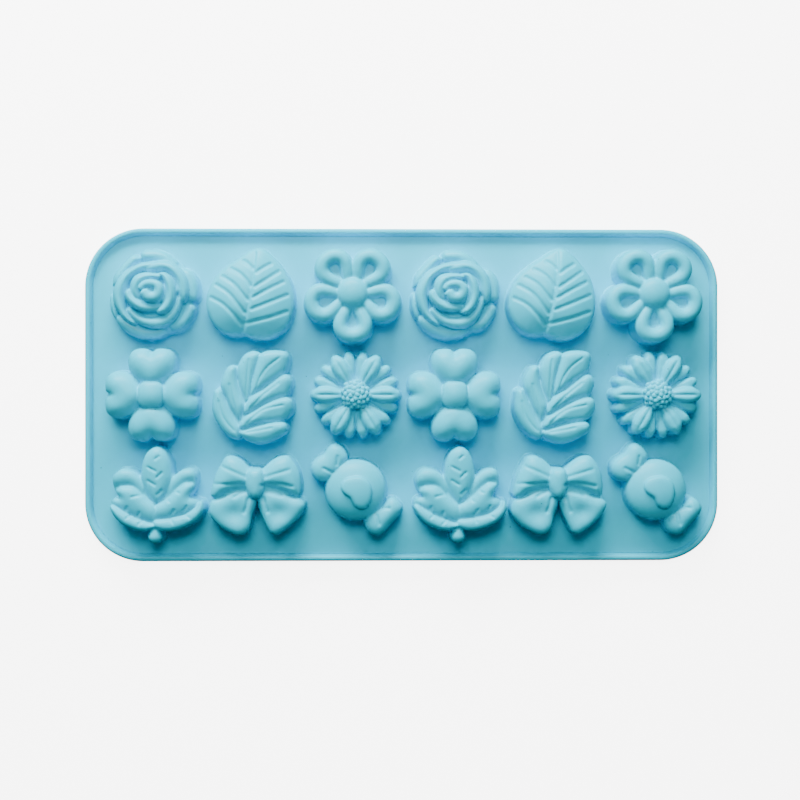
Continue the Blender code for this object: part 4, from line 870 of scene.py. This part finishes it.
def sheetTree():
    inputs = [(label, "Float") for label in ("length", "width", "rimHeight", *sheet)]
    tree, sockets, given = openTree("webAndBeadRim", "mouths", inputs + [("silicone", "Material")], "sheet")
    maths, roundKind = "ShaderNodeMath", "GeometryNodeFilletCurve"
    loopKind = "GeometryNodeCurvePrimitiveQuadrilateral"
    # The bead's centre line, half a rim width inside the edge
    beadLong = addNode(tree, maths, {"operation": "SUBTRACT"}, {0: given["length"], 1: given["rimWidth"]})
    beadWide = addNode(tree, maths, {"operation": "SUBTRACT"}, {0: given["width"], 1: given["rimWidth"]})
    half = addNode(tree, maths, {"operation": "MULTIPLY", 1: 0.5}, {0: given["rimWidth"]})
    beadBend = addNode(tree, maths, {"operation": "SUBTRACT"}, {0: given["corner"], 1: half})
    beadLine = addNode(tree, loopKind, {}, {"Width": beadLong, "Height": beadWide})
    path = addNode(tree, roundKind, {"mode": "POLY", "Count": 32}, {"Curve": beadLine, "Radius": beadBend})
    # The web: a flat fill with the cup mouths left open, pulled up to its thickness, that ends
    # inside the bead where the bead's rounded foot still hides its edge
    inset = addNode(tree, maths, {"operation": "SUBTRACT"}, {0: given["rimWidth"], 1: given["foot"]})
    webLong = addNode(tree, maths, {"operation": "MULTIPLY_ADD", 1: -2.0}, {0: inset, 2: given["length"]})
    webWide = addNode(tree, maths, {"operation": "MULTIPLY_ADD", 1: -2.0}, {0: inset, 2: given["width"]})
    webBend = addNode(tree, maths, {"operation": "SUBTRACT"}, {0: given["corner"], 1: inset})
    webLine = addNode(tree, loopKind, {}, {"Width": webLong, "Height": webWide})
    webEdge = addNode(tree, roundKind, {"mode": "POLY", "Count": 32}, {"Curve": webLine, "Radius": webBend})
    loops = addNode(tree, "GeometryNodeMeshToCurve", {}, {"Mesh": given["mouths"]})
    lines = addNode(tree, "GeometryNodeJoinGeometry", {}, {0: [webEdge, loops]})
    flat = addNode(tree, "GeometryNodeFillCurve", {"mode": "TRIANGLES"}, {"Curve": lines})
    up = addNode(tree, "ShaderNodeCombineXYZ", {}, {"Z": given["web"]})
    raised = addNode(tree, "GeometryNodeExtrudeMesh", {"mode": "FACES", "Individual": False},
                     {"Mesh": flat, "Offset": up})
    under = addNode(tree, "GeometryNodeFlipFaces", {}, {"Mesh": flat})
    web = addNode(tree, "GeometryNodeJoinGeometry", {}, {0: [raised, under]})
    welded = addNode(tree, "GeometryNodeMergeByDistance", {"Distance": 0.000001}, {"Geometry": web})
    flatWeb = addNode(tree, "GeometryNodeSetShadeSmooth", {"Shade Smooth": False}, {0: welded})
    # The bead: a round crest at the outer edge and a steep slope down to the web, swept round the line
    spare = addNode(tree, maths, {"operation": "SUBTRACT"}, {0: given["rimWidth"], 1: given["crest"]})
    outward = addNode(tree, maths, {"operation": "MULTIPLY", 1: -0.5}, {0: spare})
    section = addNode(tree, loopKind, {"mode": "TRAPEZOID"},
                      {"Bottom Width": given["rimWidth"], "Top Width": given["crest"],
                       "Height": given["rimHeight"], "Offset": outward})
    spot = addNode(tree, "GeometryNodeInputPosition")
    height = addNode(tree, "ShaderNodeSeparateXYZ", {}, {0: spot}).outputs["Y"]
    upper = addNode(tree, "FunctionNodeCompare", {"data_type": "FLOAT", "operation": "GREATER_THAN", 1: 0.0},
                    {0: height})
    rounding = addNode(tree, "GeometryNodeSwitch", {"input_type": "FLOAT"},
                       {0: upper, 1: given["foot"], 2: given["crestRound"]})
    bead = addNode(tree, roundKind, {"mode": "POLY", "Count": 12}, {"Curve": section, "Radius": rounding})
    lift = addNode(tree, maths, {"operation": "MULTIPLY", 1: -0.5}, {0: given["rimHeight"]})
    liftBy = addNode(tree, "ShaderNodeCombineXYZ", {}, {"Y": lift})
    seated = addNode(tree, "GeometryNodeTransform", {"Rotation": (0, 0, math.pi)},
                     {"Geometry": bead, "Translation": liftBy})
    upright = addNode(tree, "GeometryNodeSetCurveNormal", {"mode": "Z_UP"}, {"Curve": path})
    swept = addNode(tree, "GeometryNodeCurveToMesh", {}, {"Curve": upright, "Profile Curve": seated})
    rim = addNode(tree, "GeometryNodeSetShadeSmooth", {"Shade Smooth": True}, {0: swept})
    closeTree(tree, [flatWeb, rim], given["silicone"])
    return tree, sockets


points, edges = [], []
for spots, links in mouths:
    edges += (links + len(points)).tolist()
    points += [(x * 0.001, y * 0.001, 0.0) for x, y in spots]
loopMesh = bpy.data.meshes.new("mouthLoops")
loopMesh.from_pydata(points, edges, [])
low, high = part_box("rim_bead")
webSheet = bakeNodes("webAndRim", loopMesh, *sheetTree(), {
    **sheet, "length": high.x - low.x, "width": high.y - low.y, "rimHeight": high.z - low.z,
    "silicone": skinMaterial})
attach(webSheet, "sheet")
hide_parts("web_sheet", "rim_bead")
print("sheet", len(webSheet.data.polygons), "faces", np.round(np.array(webSheet.dimensions) * 1000, 2))

# A softbox is its name, power in watts, size and place; the floor's flat, cove and wall are in metres
studio = {
    "world": 0.09, "floor": "#f6f6f6", "roughness": 0.9, "glow": 6.0,
    "flat": 6.0, "cove": 3.0, "coveSteps": 10, "wall": 8.0, "sides": 64, "drop": 0.0004,
    "softboxes": [("highSoftbox", 4.7, (0.4, 0.3), (-0.06, 0.36, 0.83)),
                  ("grazingStripbox", 29.5, (0.9, 0.25), (-0.2, 0.88, 0.42))],
}

floorMesh = bpy.data.meshes.new("studioFloor")
sides = studio["sides"]
turns = np.linspace(0, 2 * math.pi, sides, endpoint=False)
sweep = [(studio["flat"] + studio["cove"] * math.sin(a), studio["cove"] * (1 - math.cos(a)))
         for a in np.linspace(0, math.pi / 2, studio["coveSteps"])]
sweep.append((studio["flat"] + studio["cove"], studio["wall"]))
spots = [(reach * math.cos(t), reach * math.sin(t), rise - studio["drop"])
         for reach, rise in sweep for t in turns]
faces = [tuple(range(sides))]
for ring in range(len(sweep) - 1):
    for k in range(sides):
        near, after = ring * sides + k, ring * sides + (k + 1) % sides
        faces.append((near, near + sides, after + sides, after))
floorMesh.from_pydata(spots, [], faces)
floorMesh.shade_smooth()
# White background paper, lit from behind: matt, and even all over
paper = bpy.data.materials.new("whiteStudioPaper")
paper.use_nodes = True
sheen = paper.node_tree.nodes["Principled BSDF"].inputs
sheen["Base Color"].default_value = linearColour(studio["floor"])
sheen["Roughness"].default_value = studio["roughness"]
sheen["Emission Color"].default_value = (1, 1, 1, 1)
sheen["Emission Strength"].default_value = studio["glow"]
floorMesh.materials.append(paper)
floorPiece = bpy.data.objects.new("studioFloor", floorMesh)
bpy.context.scene.collection.objects.link(floorPiece)
# The paper shows, but throws no light up at the mould's walls
floorPiece.visible_diffuse = False
floorPiece.visible_glossy = False

world = bpy.data.worlds.new("studioSurround")
bpy.context.scene.world = world
world.use_nodes = True
world.node_tree.nodes["Background"].inputs["Color"].default_value = (1, 1, 1, 1)
world.node_tree.nodes["Background"].inputs["Strength"].default_value = studio["world"]

for name, power, size, place in studio["softboxes"]:
    lamp = bpy.data.lights.new(name, "AREA")
    lamp.shape = "RECTANGLE"
    lamp.size, lamp.size_y = size
    lamp.energy = power
    softbox = bpy.data.objects.new(name, lamp)
    softbox.location = place
    softbox.rotation_euler = (-Vector(place)).to_track_quat("-Z", "Y").to_euler()
    bpy.context.scene.collection.objects.link(softbox)
print("studio", len(faces), "floor faces,", len(studio["softboxes"]), "softboxes")

view = {"lens": 61.3, "sensor": 36.0, "eye": (-0.014, -0.002, 0.65), "aim": (-0.0012, -0.0024, 0.0)}
lens = bpy.data.cameras.new("photoCamera")
lens.lens = view["lens"]
lens.sensor_width = view["sensor"]
eye = bpy.data.objects.new("photoCamera", lens)
eye.location = view["eye"]
look = Vector(view["aim"]) - Vector(view["eye"])
eye.rotation_euler = (math.asin(look.y / look.length), math.atan2(-look.x, -look.z), 0.0)
bpy.context.scene.collection.objects.link(eye)
bpy.context.scene.camera = eye
print("camera", round(look.length, 3), "m from its aim")
